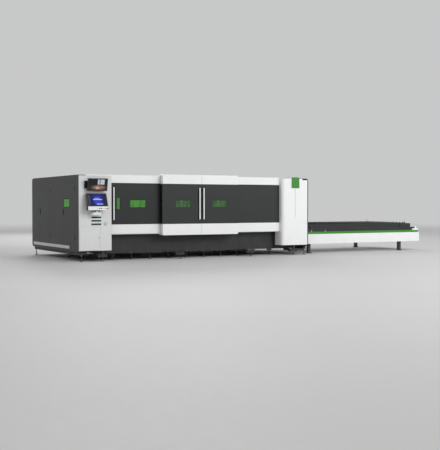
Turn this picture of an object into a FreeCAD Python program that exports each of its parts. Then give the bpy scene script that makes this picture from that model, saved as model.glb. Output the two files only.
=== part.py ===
import FreeCAD, Part
import os
import re
import Sketcher
from FreeCAD import Placement, Rotation, Vector

# Fiber laser cutting machine with a two-level pallet exchange table.
# Lengths are millimetres. Every place below is measured from the floor corner under the
# front of the left end wall: x runs right along the machine, y to the back, z up.
# originX and originY then move everything to the middle of the floor area.

doc = FreeCAD.newDocument("laser_cutting_machine")

sizes = {
    # enclosure
    "bodyLength": 7120,
    "bodyDepth": 4010,
    "wallTop": 2240,
    "wallBottom": 240,
    "wallThickness": 210,
    "wallCorner": 100,
    "wallRim": 60,
    "wallSkin": 30,
    "wallSetback": 30,
    "cornerSoftening": 12,
    "slotMargin": 20,
    "panelSeam": 2,
    # doors in the left end wall
    "serviceDoorWidth": 960,
    "frontDoorStart": 330,
    "rearDoorStart": 2340,
    "serviceDoorBottom": 450,
    "serviceDoorTop": 2050,
    "serviceDoorThickness": 30,
    "rebateLip": 20,
    "doorGap": 3,
    "knuckleLength": 50,
    "hingePinRadius": 3,
    "hingeInset": 120,
    "seatGap": 0.3,
    "wallWindowInset": 410,
    "wallWindowWidth": 440,
    "wallWindowBottom": 1400,
    "wallWindowHeight": 220,
    "pullWidth": 60,
    "pullHeight": 160,
    "pullDepth": 16,
    "pullCentreHeight": 1270,
    "pullInset": 80,
    "kickStripStart": 740,
    "kickStripEnd": 3840,
    "kickStripBottom": 310,
    "kickStripHeight": 80,
    "kickStripProud": 8,
    # control column
    "columnWidth": 886,
    "columnBottom": 280,
    "columnTop": 2215,
    "columnFascia": 30,
    "columnDepth": 350,
    "columnSheet": 16,
    "columnBoxTop": 2015,
    "columnCorner": 8,
    "doorEdge": 8,
    "cabinetDoorWidth": 567,
    "cabinetDoorHeight": 637,
    "cabinetDoorThickness": 20,
    "cabinetOpeningMargin": 25,
    "lockInset": 27,
    "lockHeight": 618,
    "lockRadius": 13,
    "lockProud": 14,
    "shaftClearance": 0.06,
    "ventInset": 20,
    "ventWidth": 260,
    "ventSlotHeight": 30,
    "ventPitch": 88,
    "ventRise": 9,
    "ventRecess": 14,
    "grooveWidth": 4,
    "switchInset": 168,
    "switchHeight": 978,
    "switchRadius": 40,
    "switchProud": 34,
    "switchStem": 9,
    "plateThickness": 3,
    "plateInset": 20,
    "plateOverrun": 500,
    "firstUnitRise": 50,
    "unitRailHeight": 35,
    "unitRailDepth": 15,
    "unitWidth": 70,
    "unitTaper": 6,
    "unitDepth": 90,
    "unitRowPitch": 190,
    "unitPitch": 100,
    # screens
    "screenWidth": 542,
    "monitorLeft": 183,
    "monitorHeight": 325,
    "monitorThickness": 36,
    "screenGap": 61,
    "monitorReach": 100,
    "monitorLean": 12,
    "monitorMountHeight": 190,
    "monitorMountWidth": 420,
    "monitorMountDepth": 36,
    "mountOverlap": 45,
    "kneeHalf": 38,
    "earWidth": 19,
    "earWall": 6,
    "earDrop": 25,
    "armHalf": 110,
    "armHeight": 67,
    "consoleLeft": 155,
    "consoleReach": 245,
    "consoleBottomHeight": 1325,
    "keyStripHeight": 100,
    "consoleHeight": 433,
    "consoleTopReach": 105,
    "consoleDepth": 58,
    "pivotRadius": 16,
    "screenBezel": 18,
    "screenRecess": 2,
    "stopButtonX": 672,
    "stopButtonRadius": 16,
    "stopButtonProud": 32,
    "stopButtonStem": 9,
    "startButtonX": 462,
    "pauseButtonX": 510,
    "buttonRadius": 10,
    "buttonProud": 8,
    "buttonDepth": 12,
    "buttonTravel": 4,
    "buttonRise": 47,
    # front beams and doors
    "bandFace": 150,
    "upperBandBottom": 2040,
    "upperBandTop": 2235,
    "lowerBandBottom": 698,
    "lowerBandTop": 947,
    "trackWidth": 20,
    "trackHeight": 16,
    "trackSetback": 50,
    "doorTrackSetback": 25,
    "roofShelf": 50,
    "roofSheet": 25,
    "roofDrop": 20,
    "roofPans": 6,
    "roofFold": 14,
    "roofSkin": 6,
    "panelSetback": 12,
    "leafThickness": 43,
    "trackGap": 0.5,
    "doorEdgeGap": 3,
    "sideDoorEnd": 2372,
    "narrowWindowInset": 200,
    "narrowWindowWidth": 100,
    "narrowWindowBottom": 1340,
    "narrowWindowHeight": 314,
    "wideWindowInset": 575,
    "wideWindowWidth": 465,
    "windowBottom": 1390,
    "windowHeight": 205,
    "paneThickness": 8,
    "paneSetback": 2,
    "paneLap": 10,
    "handleWidth": 34,
    "handleBar": 10,
    "handleLength": 864,
    "handleBottom": 1062,
    "handleProud": 30,
    "handleFoot": 12,
    "handleBend": 9,
    "handleRecess": 14,
    "handleRecessWidth": 96,
    "handleRecessMargin": 30,
    "sideHandleInset": 120,
    "middleStart": 2350,
    "leftLeafWidth": 1187,
    "rightLeafWidth": 1159,
    "seamGap": 6,
    "topLip": 42,
    "bottomLip": 49,
    "middleRailDepth": 118,
    "middlePanelDepth": 70,
    "middlePanelSetback": 8,
    "middleRailOverlap": 10,
    "hangerOverlap": 20,
    "middleCorner": 38,
    "middleHandleInset": 60,
    "leftWindowInset": 332,
    "rightWindowInset": 327,
    "middleWindowWidth": 475,
    "fixedPanelSheet": 12,
    # right column
    "rightColumnWidth": 890,
    "rightColumnInset": 50,
    "rightColumnBottom": 290,
    "rightColumnTop": 2224,
    "rightColumnRadius": 100,
    "rightColumnSheet": 20,
    "capInset": 320,
    "capWidth": 270,
    "capBottom": 1950,
    "capThickness": 46,
    "capProud": 14,
    "capReach": 240,
    "capCorner": 12,
    # bed
    "palletAxis": 1660,
    "skirtFace": 380,
    "skirtSheet": 6,
    "skirtPitch": 571,
    "skirtSeam": 3,
    "girderStart": 620,
    "girderSetback": 20,
    "girderWidth": 160,
    "girderTop": 960,
    "girderBottom": 180,
    "ribWidth": 90,
    "webDepth": 120,
    "flangeThickness": 60,
    "ribCount": 10,
    "crossHeight": 120,
    "crossWidth": 100,
    "crossCount": 6,
    "firstFoot": 1100,
    "lastFootInset": 855,
    "bedFootCount": 10,
    "footRadius": 40,
    "footThickness": 16,
    "studRadius": 12,
    "tubeSize": 80,
    "baseInset": 60,
    "rearTubeInset": 130,
    "sourceStart": 2800,
    "sourceWidth": 1400,
    "sourceDepth": 740,
    "sourceHeight": 1260,
    "sourceSetback": 170,
    "outriggerReach": 40,
    "outriggerSize": 60,
    "firstOutrigger": 660,
    "outriggerPitch": 2250,
    "outriggerInset": 500,
    "innerFootX": 500,
    "innerFootSpread": 515,
    "cheekWidth": 80,
    "cheekGap": 45,
    "cheekHeight": 90,
    "cheekRise": 10,
    # rear
    "rearPanelThickness": 50,
    "rearPanelInset": 20,
    "rearDoorWidth": 900,
    "rearDoorMiddle": 3503,
    "rearDoorBottom": 380,
    "rearDoorTop": 1980,
    "rearDoorThickness": 25,
    "louvreCount": 8,
    "louvrePitch": 50,
    "louvreHeight": 20,
    "louvreLength": 600,
    "louvreBottom": 1200,
    "louvreInset": 700,
    "spigotX": 5700,
    "spigotHeight": 620,
    "spigotRadius": 150,
    "spigotWall": 4,
    "spigotLength": 100,
    "spigotFlange": 190,
    "flangeSheet": 10,
    # pallets and rails
    "tableGap": 80,
    "palletInset": 20,
    "palletLength": 4350,
    "palletTravel": 4800,
    "tierDrop": 285,
    "palletSideGap": 40,
    "palletBeamWidth": 50,
    "palletBeamHeight": 120,
    "palletCrossHeight": 50,
    "palletCrossWidth": 60,
    "palletBays": 5,
    "palletRib": 40,
    "slatSeatHeight": 60,
    "slatHeight": 100,
    "slatThickness": 6,
    "slatMargin": 150,
    "slatCount": 28,
    "slatEndInset": 6,
    "slotClearance": 0.3,
    "toothPitch": 160,
    "toothDepth": 34,
    "toothCount": 12,
    "wheelRadius": 45,
    "wheelWidth": 22,
    "wheelInset": 400,
    "wheelGap": 3,
    "pinRadius": 15,
    "railTop": 745,
    "railThickness": 12,
    "railStubHeight": 60,
    "railGap": 2,
    "railStart": 2300,
    "railSplitSetback": 5,
    "lugLength": 80,
    "lugThickness": 12,
    "stopPostSize": 18,
    "stopPostHeight": 110,
    "stopPostInset": 75,
    # gantry
    "gantryStart": 1840,
    "gantryWidth": 320,
    "gantryLift": 125,
    "gantryHeight": 300,
    "gantryWall": 16,
    "gantryOverhang": 25,
    "carriageLength": 440,
    "carriageWidth": 99,
    "carriageGap": 5,
    "linearRailSetback": 60,
    "linearRailWidth": 40,
    "linearRailHeight": 30,
    "rackSetback": 130,
    "rackWidth": 20,
    "rackHeight": 25,
    "driveLength": 140,
    "driveWidth": 120,
    "driveHeight": 310,
    "driveSetback": 80,
    "driveGap": 2,
    "crossRailHeight": 25,
    "crossRailDepth": 20,
    "crossRailRise": 35,
    "crossRailInset": 70,
    "saddleInset": 105,
    "saddleWidth": 260,
    "saddleRise": 15,
    "saddleHeight": 400,
    "saddleDepth": 50,
    "slideRise": 10,
    "slideHeight": 370,
    "slideDepth": 54,
    "slideWidth": 210,
    "zRailWidth": 20,
    "zRailDepth": 15,
    "zRailSpread": 160,
    "zMotorSize": 90,
    "zMotorHeight": 140,
    "headRadius": 45,
    "headHeight": 260,
    "headRise": 20,
    "nozzleRadius": 9,
    "nozzleLength": 90,
    "headReach": 56,
    # exchange table
    "tableOverrun": 180,
    "tableFace": 380,
    "tablePanelBottom": 290,
    "tableStripHeight": 70,
    "stripEndGap": 50,
    "panelSheet": 6,
    "chordWidth": 60,
    "chordInset": 30,
    "upperChordHeight": 95,
    "lowerChordHeight": 110,
    "tablePostCount": 5,
    "tablePostInset": 250,
    "tableLegSize": 90,
    "tableLegBottom": 16,
    "legPlate": 140,
    "endBeamHeight": 90,
    "endBeamDrop": 5,
    "endSheetDrop": 50,
    "bracketLength": 250,
    "bracketOverhang": 20,
    "bracketSheet": 12,
    "bracketUpstand": 120,
    "bracketHeight": 50,
    "bracketUpstandWidth": 60,
    "guidePegHeight": 40,
    "guidePegRadius": 9,
    "firstPegInset": 300,
    "pegInset": 20,
    "pegPitch": 516,
    "shaftInset": 20,
    "sprocketRadius": 34,
    "sprocketTeeth": 12,
    "sprocketWidth": 8,
    "driveShaftRadius": 20,
    "chainSetback": 6,
    "chainWidth": 14,
    "chainThickness": 6,
    "chainEndX": 2500,
    "gearmotorRadius": 48,
    "gearmotorLength": 200,
    "motorArmHeight": 40,
}

# places that follow from the sizes above
derived = {
    "knuckleRadius": "kickStripProud",
    "originX": "(tableEnd - kickStripProud) / 2",
    "frontReach": "consoleReach + stopButtonProud",
    "originY": "(spigotEnd - frontReach) / 2",
    "spigotEnd": "rearFace + spigotLength",
    "rearFace": "bodyDepth - rearPanelInset",
    "rearInner": "rearFace - rearPanelThickness",
    "rightWall": "bodyLength - wallThickness",
    "wallWindowStart": "frontDoorStart + wallWindowInset",
    "columnBox": "wallThickness + panelSeam",
    "columnBack": "columnFascia + columnDepth",
    "cabinetDoorEnd": "doorEdge + cabinetDoorWidth",
    "cabinetDoorTop": "columnBottom + doorEdge + cabinetDoorHeight",
    "cabinetOpeningStart": "columnBox + columnSheet + cabinetOpeningMargin / 2",
    "lockCentreX": "cabinetDoorEnd - lockInset",
    "ventEnd": "cabinetDoorEnd + ventInset",
    "ventStart": "ventEnd - ventWidth",
    "lowestVent": "cabinetDoorTop + ventRise + ventSlotHeight",
    "switchCentreX": "columnWidth - switchInset",
    "girderOuter": "skirtFace + girderSetback",
    "girderInner": "girderOuter + girderWidth",
    "girderEnd": "rightWall - carriageGap",
    "ribPitch": "(girderEnd - girderStart - ribWidth) / ribCount",
    "crossPitch": "(girderEnd - girderStart - crossWidth) / (crossCount - 1)",
    "footPitch": "(girderEnd - firstFoot - lastFootInset) / (bedFootCount - 1)",
    "outriggerTop": "girderBottom",
    "lastOutrigger": "bodyLength - outriggerInset",
    "rightColumnStart": "bodyLength - rightColumnInset - rightColumnWidth",
    "rightColumnEnd": "bodyLength - rightColumnInset",
    "rightColumnBack": "columnBack",
    "capStart": "rightColumnStart + capInset",
    "capTop": "rightColumnTop + capThickness",
    "skirtLastEnd": "rightColumnStart - skirtSeam",
    "trackStart": "bandFace + trackSetback",
    "trackEnd": "trackStart + trackWidth",
    "doorTrackStart": "bandFace + doorTrackSetback",
    "doorTrackEnd": "doorTrackStart + trackWidth",
    "doorFace": "bandFace + panelSetback",
    "roofTop": "upperBandTop - roofDrop",
    "roofBottom": "roofTop - roofSheet",
    "upperBeamBack": "columnBack",
    "sideDoorStart": "columnWidth + doorEdgeGap",
    "sideHandleX": "sideDoorStart + sideHandleInset",
    "middleLeftEnd": "middleStart + leftLeafWidth",
    "middleRightStart": "middleLeftEnd + seamGap",
    "middleEnd": "middleRightStart + rightLeafWidth",
    "middleTop": "upperBandTop + doorEdgeGap + topLip",
    "middleBottom": "lowerBandBottom - doorEdgeGap - bottomLip",
    "middleRailBottom": "upperBandBottom - middleRailOverlap",
    "hangerReach": "trackEnd + hangerOverlap",
    "handleTop": "handleBottom + handleLength",
    "tableStart": "bodyLength + tableGap",
    "palletStart": "tableStart + palletInset",
    "palletEnd": "palletStart + palletLength",
    "tableEnd": "palletEnd + tableOverrun",
    "chordStart": "tableStart + chordInset",
    "chordEnd": "tableEnd - stripEndGap",
    "chordFace": "girderInner - chordWidth",
    "firstTablePost": "tableStart + tablePostInset",
    "tablePostPitch": "(tableEnd - tableStart - 4 * tablePostInset) / (tablePostCount - 1)",
    "upperChordBottom": "railTop - upperChordHeight",
    "lowerRailTop": "railTop - tierDrop",
    "lowerChordBottom": "lowerRailTop - lowerChordHeight",
    "tableStripTop": "upperChordBottom",
    "tablePanelTop": "tableStripTop - tableStripHeight",
    "bracketStart": "chordEnd + bracketOverhang - bracketLength",
    "beamOuter": "girderInner + palletSideGap",
    "beamInner": "beamOuter + palletBeamWidth",
    "railEdge": "beamOuter - railGap",
    "railSplit": "palletStart - railSplitSetback",
    "palletBeamTop": "railTop + palletBeamHeight",
    "slatSeat": "railTop + slatSeatHeight",
    "slatTop": "slatSeat + slatHeight",
    "stopPostTop": "palletBeamTop + stopPostHeight",
    "lowerWallSlot": "lowerRailTop - railStubHeight - slotMargin / 2",
    "upperWallSlot": "stopPostTop + slotMargin",
    "wheelAxis": "railTop + wheelRadius + seatGap",
    "wheelFace": "beamOuter - wheelGap - wheelWidth",
    "slatPitch": "(palletLength - 2 * slatMargin) / (slatCount - 1)",
    "firstSlat": "palletStart + slatMargin",
    "lastSlat": "firstSlat + (slatCount - 1) * slatPitch",
    "lugStart": "firstSlat + 13 * slatPitch + (slatPitch - lugLength) / 2",
    "sprocketX": "palletEnd - shaftInset",
    "chainInnerRadius": "sprocketRadius + 1",
    "strandReach": "chainInnerRadius + chainThickness",
    "sprocketHeight": "railTop - railThickness - railGap - strandReach",
    "chainFace": "girderInner + chainSetback",
    "chainBack": "chainFace + chainWidth",
    "linearRailTop": "girderTop + linearRailHeight",
    "gantryBottom": "girderTop + gantryLift",
    "gantryTop": "gantryBottom + gantryHeight",
    "gantryFace": "gantryStart + gantryWidth",
    "gantryFront": "girderOuter + gantryOverhang",
    "lowerCrossRail": "gantryBottom + crossRailRise",
    "upperCrossRail": "gantryTop - crossRailRise - crossRailHeight",
    "saddleStart": "gantryFront + saddleInset",
    "saddleBottom": "gantryBottom + saddleRise",
    "saddleTop": "saddleBottom + saddleHeight",
    "saddleStartX": "gantryFace + 2",
    "saddleEndX": "saddleStartX + saddleDepth + crossRailDepth",
    "slideBottom": "saddleBottom + slideRise",
    "slideTop": "slideBottom + slideHeight",
    "slideStartX": "saddleEndX + 1",
    "slideEndX": "slideStartX + zRailDepth + slideDepth",
    "headX": "slideEndX + headReach",
    "headY": "saddleStart + saddleWidth / 2",
    "headBottom": "slideBottom + headRise",
    "screenMiddle": "consoleLeft + screenWidth / 2",
    "monitorMiddle": "monitorLeft + screenWidth / 2",
    "monitorMountLeft": "monitorLeft - mountOverlap",
    "monitorPivotReach": "monitorReach - 38",
    "earHalf": "kneeHalf + 1 + earWidth",
    "consolePivotReach": "consoleReach - 95",
    "consolePivotHeight": "consoleBottomHeight - earDrop",
    "consoleTopHeight": "consoleBottomHeight + consoleHeight",
    "monitorBottomHeight": "consoleTopHeight + screenGap",
    "monitorPivotHeight": "monitorBottomHeight + monitorHeight / 2",
    "buttonHeight": "consoleBottomHeight + buttonRise",
}


def write_sizes():
    """Put every driving size into the sheet, one row each, under its own alias."""
    table = doc.addObject("Spreadsheet::Sheet", "Sizes")
    for row, (alias, amount) in enumerate(sizes.items(), start=1):
        table.set(f"A{row}", alias)
        table.set(f"B{row}", str(amount))
        table.setAlias(f"B{row}", alias)
    doc.recompute()
    return table


sheet = write_sizes()
nodes = []


def full(text):
    """Write a formula of plain size names as one that reads the sheet."""
    def swap(match):
        word = match.group(0)
        if word in derived:
            return "(" + full(derived[word]) + ")"
        if word in sizes:
            return "Sizes." + word
        return word
    return re.sub(r"[A-Za-z]\w*", swap, str(text))


def amount(text):
    """The present value of a formula, for counts and for shapes made in code."""
    return float(sheet.evalExpression(full(text)))


def bind(thing, prop, text):
    thing.setExpression(prop, full(text))


def far(y):
    """The same distance on the far side of the pallets' centre line."""
    return f"(2 * palletAxis - ({y}))"


def block(x, y, z, label="Block"):
    box = doc.addObject("Part::Box", label)
    for prop, (low, high) in zip(("Length", "Width", "Height"), (x, y, z)):
        bind(box, prop, f"({high}) - ({low})")
    bind(box, "Placement.Base.x", f"({x[0]}) - originX")
    bind(box, "Placement.Base.y", f"({y[0]}) - originY")
    bind(box, "Placement.Base.z", z[0])
    return box


def mirrored_block(x, y, z):
    """A block on the front side and its twin on the rear side of the pallets' centre line."""
    return [block(x, y, z), block(x, (far(y[1]), far(y[0])), z)]


def rod(axis, centre, radius, length, label="Rod"):
    """A round bar that starts at centre and runs along axis, such as (0, 1, 0)."""
    bar = doc.addObject("Part::Cylinder", label)
    bar.Placement = Placement(Vector(), Rotation(Vector(0, 0, 1), Vector(*axis)))
    bind(bar, "Radius", radius)
    bind(bar, "Height", length)
    bind(bar, "Placement.Base.x", f"({centre[0]}) - originX")
    bind(bar, "Placement.Base.y", f"({centre[1]}) - originY")
    bind(bar, "Placement.Base.z", centre[2])
    return bar


def fused(pieces, label="Joined"):
    union = doc.addObject("Part::MultiFuse", label)
    union.Shapes = pieces
    union.Refine = True
    return union


def cut(base, tools, label="Trimmed"):
    result = doc.addObject("Part::Cut", label)
    result.Base = base
    result.Tool = tools[0] if len(tools) == 1 else fused(tools, "Cutters")
    result.Refine = True
    return result


def grouped(pieces, label="Group"):
    """Separate solids that make up one node."""
    cluster = doc.addObject("Part::Compound", label)
    cluster.Links = pieces
    return cluster


def node(thing, name):
    thing.Label = name
    nodes.append(thing)
    return thing


planeRoles = {"x": "YZ_Plane", "y": "XZ_Plane", "z": "XY_Plane"}
planeOrigins = {"x": ("originY", "0"), "y": ("originX", "0"), "z": ("originX", "originY")}
axisOrigins = {"x": "originX", "y": "originY", "z": "0"}


def new_body(name):
    return doc.addObject("PartDesign::Body", name)


def origin_feature(body, role):
    return next(item for item in body.Origin.OriginFeatures if item.Role == role)


def sketch_at(body, normal, place):
    """An empty sketch square to an axis, at a place along it."""
    sketch = body.newObject("Sketcher::SketchObject", "Outline")
    sketch.AttachmentSupport = [(origin_feature(body, planeRoles[normal]), "")]
    sketch.MapMode = "FlatFace"
    sign = "-" if normal == "y" else ""
    bind(sketch, "AttachmentOffset.Base.z", f"{sign}(({place}) - {axisOrigins[normal]})")
    return sketch


def pin_point(sketch, geometry, end, point, shifts):
    """Hold one point of a sketch at a place given by two formulas."""
    for kind, text, shift in zip(("DistanceX", "DistanceY"), point, shifts):
        formula = f"({text}) - {shift}"
        held = Sketcher.Constraint(kind, -1, 1, geometry, end, amount(formula))
        index = sketch.addConstraint(held)
        bind(sketch, f"Constraints[{index}]", formula)


def outline(sketch, points, shifts):
    """A closed outline of straight edges, each corner held by its own formulas."""
    spots = [Vector(amount(f"({u}) - {shifts[0]}"), amount(f"({v}) - {shifts[1]}"), 0) for u, v in points]
    count = len(spots)
    first = sketch.GeometryCount
    for index in range(count):
        sketch.addGeometry(Part.LineSegment(spots[index], spots[(index + 1) % count]), False)
    for index in range(count):
        following = first + (index + 1) % count
        sketch.addConstraint(Sketcher.Constraint("Coincident", first + index, 2, following, 1))
    for index, point in enumerate(points):
        pin_point(sketch, first + index, 1, point, shifts)


def rectangle(u, v):
    return [(u[0], v[0]), (u[1], v[0]), (u[1], v[1]), (u[0], v[1])]


def pad(body, normal, span, loops):
    """Extrude loops of points between two places along an axis."""
    base = span[1] if normal == "y" else span[0]
    sketch = sketch_at(body, normal, base)
    for loop in loops:
        outline(sketch, loop, planeOrigins[normal])
    feature = body.newObject("PartDesign::Pad", "Pad")
    feature.Profile = sketch
    bind(feature, "Length", f"({span[1]}) - ({span[0]})")
    doc.recompute()
    return feature


def pocket(body, normal, span, loops):
    """Cut loops of points out of the body between two places along an axis."""
    before = body.Tip.Shape.Volume
    base = span[0] if normal == "y" else span[1]
    sketch = sketch_at(body, normal, base)
    for loop in loops:
        outline(sketch, loop, planeOrigins[normal])
    feature = body.newObject("PartDesign::Pocket", "Pocket")
    feature.Profile = sketch
    bind(feature, "Length", f"({span[1]}) - ({span[0]})")
    body.Tip = feature
    doc.recompute()
    if feature.Shape.Volume >= before:
        raise RuntimeError(f"{body.Label}: the pocket cut nothing")
    return feature


def repeated(body, feature, role, step, count):
    """Repeat one feature of a body along an axis, a step apart."""
    pattern = body.newObject("PartDesign::LinearPattern", "Repeat")
    pattern.Originals = [feature]
    pattern.Direction = (origin_feature(body, role), [""])
    bind(pattern, "Length", f"({step}) * (({count}) - 1)")
    bind(pattern, "Occurrences", count)
    body.Tip = pattern
    doc.recompute()
    return pattern


def rounded(body, radius, wanted):
    """Fillet the edges of the body's last feature that a test picks out."""
    base = body.Tip
    picked = [f"Edge{i}" for i, edge in enumerate(base.Shape.Edges, start=1) if wanted(edge)]
    if not picked:
        raise RuntimeError(f"{body.Label}: no edge to round")
    fillet = body.newObject("PartDesign::Fillet", "Rounding")
    fillet.Base = (base, picked)
    bind(fillet, "Radius", radius)
    body.Tip = fillet
    doc.recompute()
    return fillet


def runs_along(edge, axis):
    """Whether an edge is straight and parallel to an axis."""
    if edge.Curve.TypeId != "Part::GeomLine":
        return False
    step = edge.lastVertex().Point - edge.firstVertex().Point
    return abs(abs(step[axis]) - step.Length) < 1e-6


def at(edge, axis, text, shift="0"):
    """Whether an edge's middle lies at a place along an axis."""
    return abs(edge.CenterOfMass[axis] - amount(f"({text}) - {shift}")) < 0.01


def turned(name, place, axis, profile):
    """A lathe-turned piece: a profile of (radius, height) points about an axis at a place."""
    body = new_body(name)
    body.Placement = Placement(Vector(), Rotation(Vector(0, 0, 1), Vector(*axis)))
    bind(body, "Placement.Base.x", f"({place[0]}) - originX")
    bind(body, "Placement.Base.y", f"({place[1]}) - originY")
    bind(body, "Placement.Base.z", place[2])
    sketch = body.newObject("Sketcher::SketchObject", "Profile")
    sketch.AttachmentSupport = [(origin_feature(body, "XZ_Plane"), "")]
    sketch.MapMode = "FlatFace"
    outline(sketch, profile, ("0", "0"))
    feature = body.newObject("PartDesign::Revolution", "Revolution")
    feature.Profile = sketch
    feature.ReferenceAxis = (sketch, ["V_Axis"])
    feature.Angle = 360
    body.Tip = feature
    doc.recompute()
    return body


# ---- bed and floor frame ----

def make_bed_frame():
    """Two box girders with recessed webs, cross beams and the two levels of pallet rail."""
    outer, inner = "girderOuter", "girderInner"
    girders = mirrored_block(("girderStart", "girderEnd"), (outer, inner), ("girderBottom", "girderTop"))
    webs = []
    for bay in range(int(amount("ribCount"))):
        start = f"girderStart + ribWidth + {bay} * ribPitch"
        height = ("girderBottom + flangeThickness", "girderTop - flangeThickness")
        webs += mirrored_block((start, f"{start} + ribPitch - ribWidth"), (outer, f"{outer} + webDepth"),
                               height)
    pieces = [cut(fused(girders), webs)]
    between = (inner, far(inner))
    for place in range(int(amount("crossCount"))):
        start = f"girderStart + {place} * crossPitch"
        top = "girderTop - flangeThickness" if place == 0 else "girderBottom + crossHeight"
        pieces.append(block((start, f"{start} + crossWidth"), between, ("girderBottom", top)))
    for level in ("0", "tierDrop"):
        top = f"railTop - {level}"
        ledge = (f"{top} - railThickness", top)
        pieces += mirrored_block(("railStart", "railSplit"), (inner, "railEdge"), ledge)
        stub = (f"{inner} - railThickness", inner)
        web = (f"{top} - railStubHeight", top)
        pieces += mirrored_block(("girderEnd", "railSplit"), stub, web)
    return node(fused(pieces), "bed_frame")


def make_chain_shoes():
    """The round noses that the exchange chains turn on inside the bed."""
    start = ("chainEndX", "girderInner", "sprocketHeight")
    length = "chainFace + chainWidth - girderInner"
    front = rod((0, 1, 0), start, "chainInnerRadius - seatGap", length)
    rear = rod((0, -1, 0), (start[0], far(start[1]), start[2]), "chainInnerRadius - seatGap", length)
    return [front, rear]


def foot(x, y, top):
    """One levelling foot: a round pad and a hexagonal stud up to what it carries."""
    pad_piece = rod((0, 0, 1), (x, y, "0"), "footRadius", "footThickness")
    stud = doc.addObject("Part::Prism", "Stud")
    stud.Polygon = 6
    bind(stud, "Circumradius", "studRadius")
    bind(stud, "Height", f"({top}) - footThickness")
    bind(stud, "Placement.Base.x", f"({x}) - originX")
    bind(stud, "Placement.Base.y", f"({y}) - originY")
    bind(stud, "Placement.Base.z", "footThickness")
    return fused([pad_piece, stud])


def make_levelling_feet():
    feet = []
    girderMiddle = "girderOuter + girderWidth / 2"
    for place in range(int(amount("bedFootCount"))):
        x = f"firstFoot + {place} * footPitch"
        feet.append(foot(x, girderMiddle, "girderBottom"))
        feet.append(foot(x, far(girderMiddle), "girderBottom"))
    tubeBottom = "wallBottom - tubeSize"
    leftTube = "baseInset + tubeSize / 2"
    rightTube = "bodyLength - baseInset - tubeSize / 2"
    rearTube = "bodyDepth - rearTubeInset + tubeSize / 2"
    for x in (leftTube, "sourceStart + tubeSize / 2", "sourceStart + sourceWidth - tubeSize / 2",
              rightTube):
        feet.append(foot(x, rearTube, tubeBottom))
    for x in (leftTube, rightTube):
        feet.append(foot(x, "wallSetback + tubeSize", tubeBottom))
    for y in ("palletAxis - innerFootSpread", "palletAxis + innerFootSpread"):
        feet.append(foot("innerFootX", y, tubeBottom))
    for x in outriggerXs():
        feet.append(foot(x, "outriggerReach + outriggerSize / 2", "outriggerTop - outriggerSize"))
    return node(grouped(feet), "levelling_feet")


def outriggerXs():
    return ("firstOutrigger", "firstOutrigger + outriggerPitch", "firstOutrigger + 2 * outriggerPitch",
            "lastOutrigger")


def make_base_frame():
    """Floor tubes under the end walls and the rear compartment, butted end to side, with the outriggers."""
    height = ("wallBottom - tubeSize", "wallBottom")
    rear = "bodyDepth - rearTubeInset"
    leftSide = ("baseInset", "baseInset + tubeSize")
    rightSide = ("bodyLength - baseInset - tubeSize", "bodyLength - baseInset")
    depth = ("wallSetback + tubeSize / 2", rear)
    members = [block(leftSide, depth, height), block(rightSide, depth, height)]
    members.append(block((leftSide[0], rightSide[1]), (rear, f"{rear} + tubeSize"), height))
    for x in ("sourceStart", "sourceStart + sourceWidth - tubeSize"):
        members.append(block((x, f"{x} + tubeSize"), (far("girderOuter"), rear), height))
    for y in ("palletAxis - innerFootSpread", "palletAxis + innerFootSpread"):
        across = (f"{y} - tubeSize / 2", f"{y} + tubeSize / 2")
        members.append(block((leftSide[1], "girderStart"), across, height))
    reach = ("wallSetback + tubeSize / 2", "wallSetback + tubeSize / 2 + outriggerSize")
    link = ("lastOutrigger + outriggerSize / 2", rightSide[0])
    members.append(block(link, reach, ("outriggerTop - outriggerSize", "outriggerTop")))
    for place, x in enumerate(outriggerXs()):
        members.append(outrigger(x, place))
    return node(grouped(members), "base_frame")


def outrigger(x, place):
    """An arm from the bed girder to a foot near the front with two cheeks; the end ones carry a post."""
    half = "outriggerSize / 2"
    height = ("outriggerTop - outriggerSize", "outriggerTop")
    arm = (f"{x} - {half}", f"{x} + {half}")
    pieces = [block(arm, ("outriggerReach", "girderInner"), height)]
    top = "outriggerTop + cheekRise"
    for inner, outer in (("cheekGap", "cheekGap + cheekWidth"), ("-cheekGap - cheekWidth", "-cheekGap")):
        reach = ("outriggerReach + cheekRise", "outriggerReach + 2 * outriggerSize")
        pieces.append(block((f"{x} + {inner}", f"{x} + {outer}"), reach, (f"{top} - cheekHeight", top)))
    link = (f"{x} - cheekGap - cheekRise", f"{x} + cheekGap + cheekRise")
    pieces.append(block(link, ("outriggerReach + 2 * cheekRise", "outriggerReach + outriggerSize"), height))
    tops = {0: "columnBottom", len(outriggerXs()) - 1: "rightColumnBottom"}
    if place in tops:
        pieces.append(block(arm, ("outriggerReach", "outriggerReach + outriggerSize"),
                            ("outriggerTop", tops[place])))
    return fused(pieces)


# ---- end walls ----

def hinged(leaf, frame_, place, span):
    """Two hinges on an upright axis: the leaf's knuckles run on pins under the frame's knuckles."""
    radius, length, pin = "knuckleRadius", "knuckleLength", "hingePinRadius"
    x, y = place
    lows = (f"{span[0]} + hingeInset", f"{span[1]} - hingeInset - 2 * {length}")
    upright = (0, 0, 1)
    leafParts, frameParts, leafCuts, frameCuts, bores = [], [], [], [], []
    for low in lows:
        leafParts.append(rod(upright, (x, y, low), radius, length))
        frameCuts.append(rod(upright, (x, y, f"{low} - seatGap"), f"{radius} + seatGap",
                             f"{length} + 2 * seatGap"))
        leafCuts.append(rod(upright, (x, y, f"{low} + {length}"), f"{radius} + seatGap",
                            f"{length} + seatGap"))
        bores.append(rod(upright, (x, y, f"{low} - 1"), f"{pin} + shaftClearance", f"{length} + 2"))
        frameParts.append(rod(upright, (x, y, f"{low} + {length} + seatGap"), radius,
                              f"{length} - seatGap"))
        frameParts.append(rod(upright, (x, y, f"{low} + doorGap"), pin, f"{length} * 3 / 2"))
    hungLeaf = cut(fused([cut(leaf, leafCuts)] + leafParts), bores)
    return hungLeaf, fused([cut(frame_, frameCuts)] + frameParts)


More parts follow.
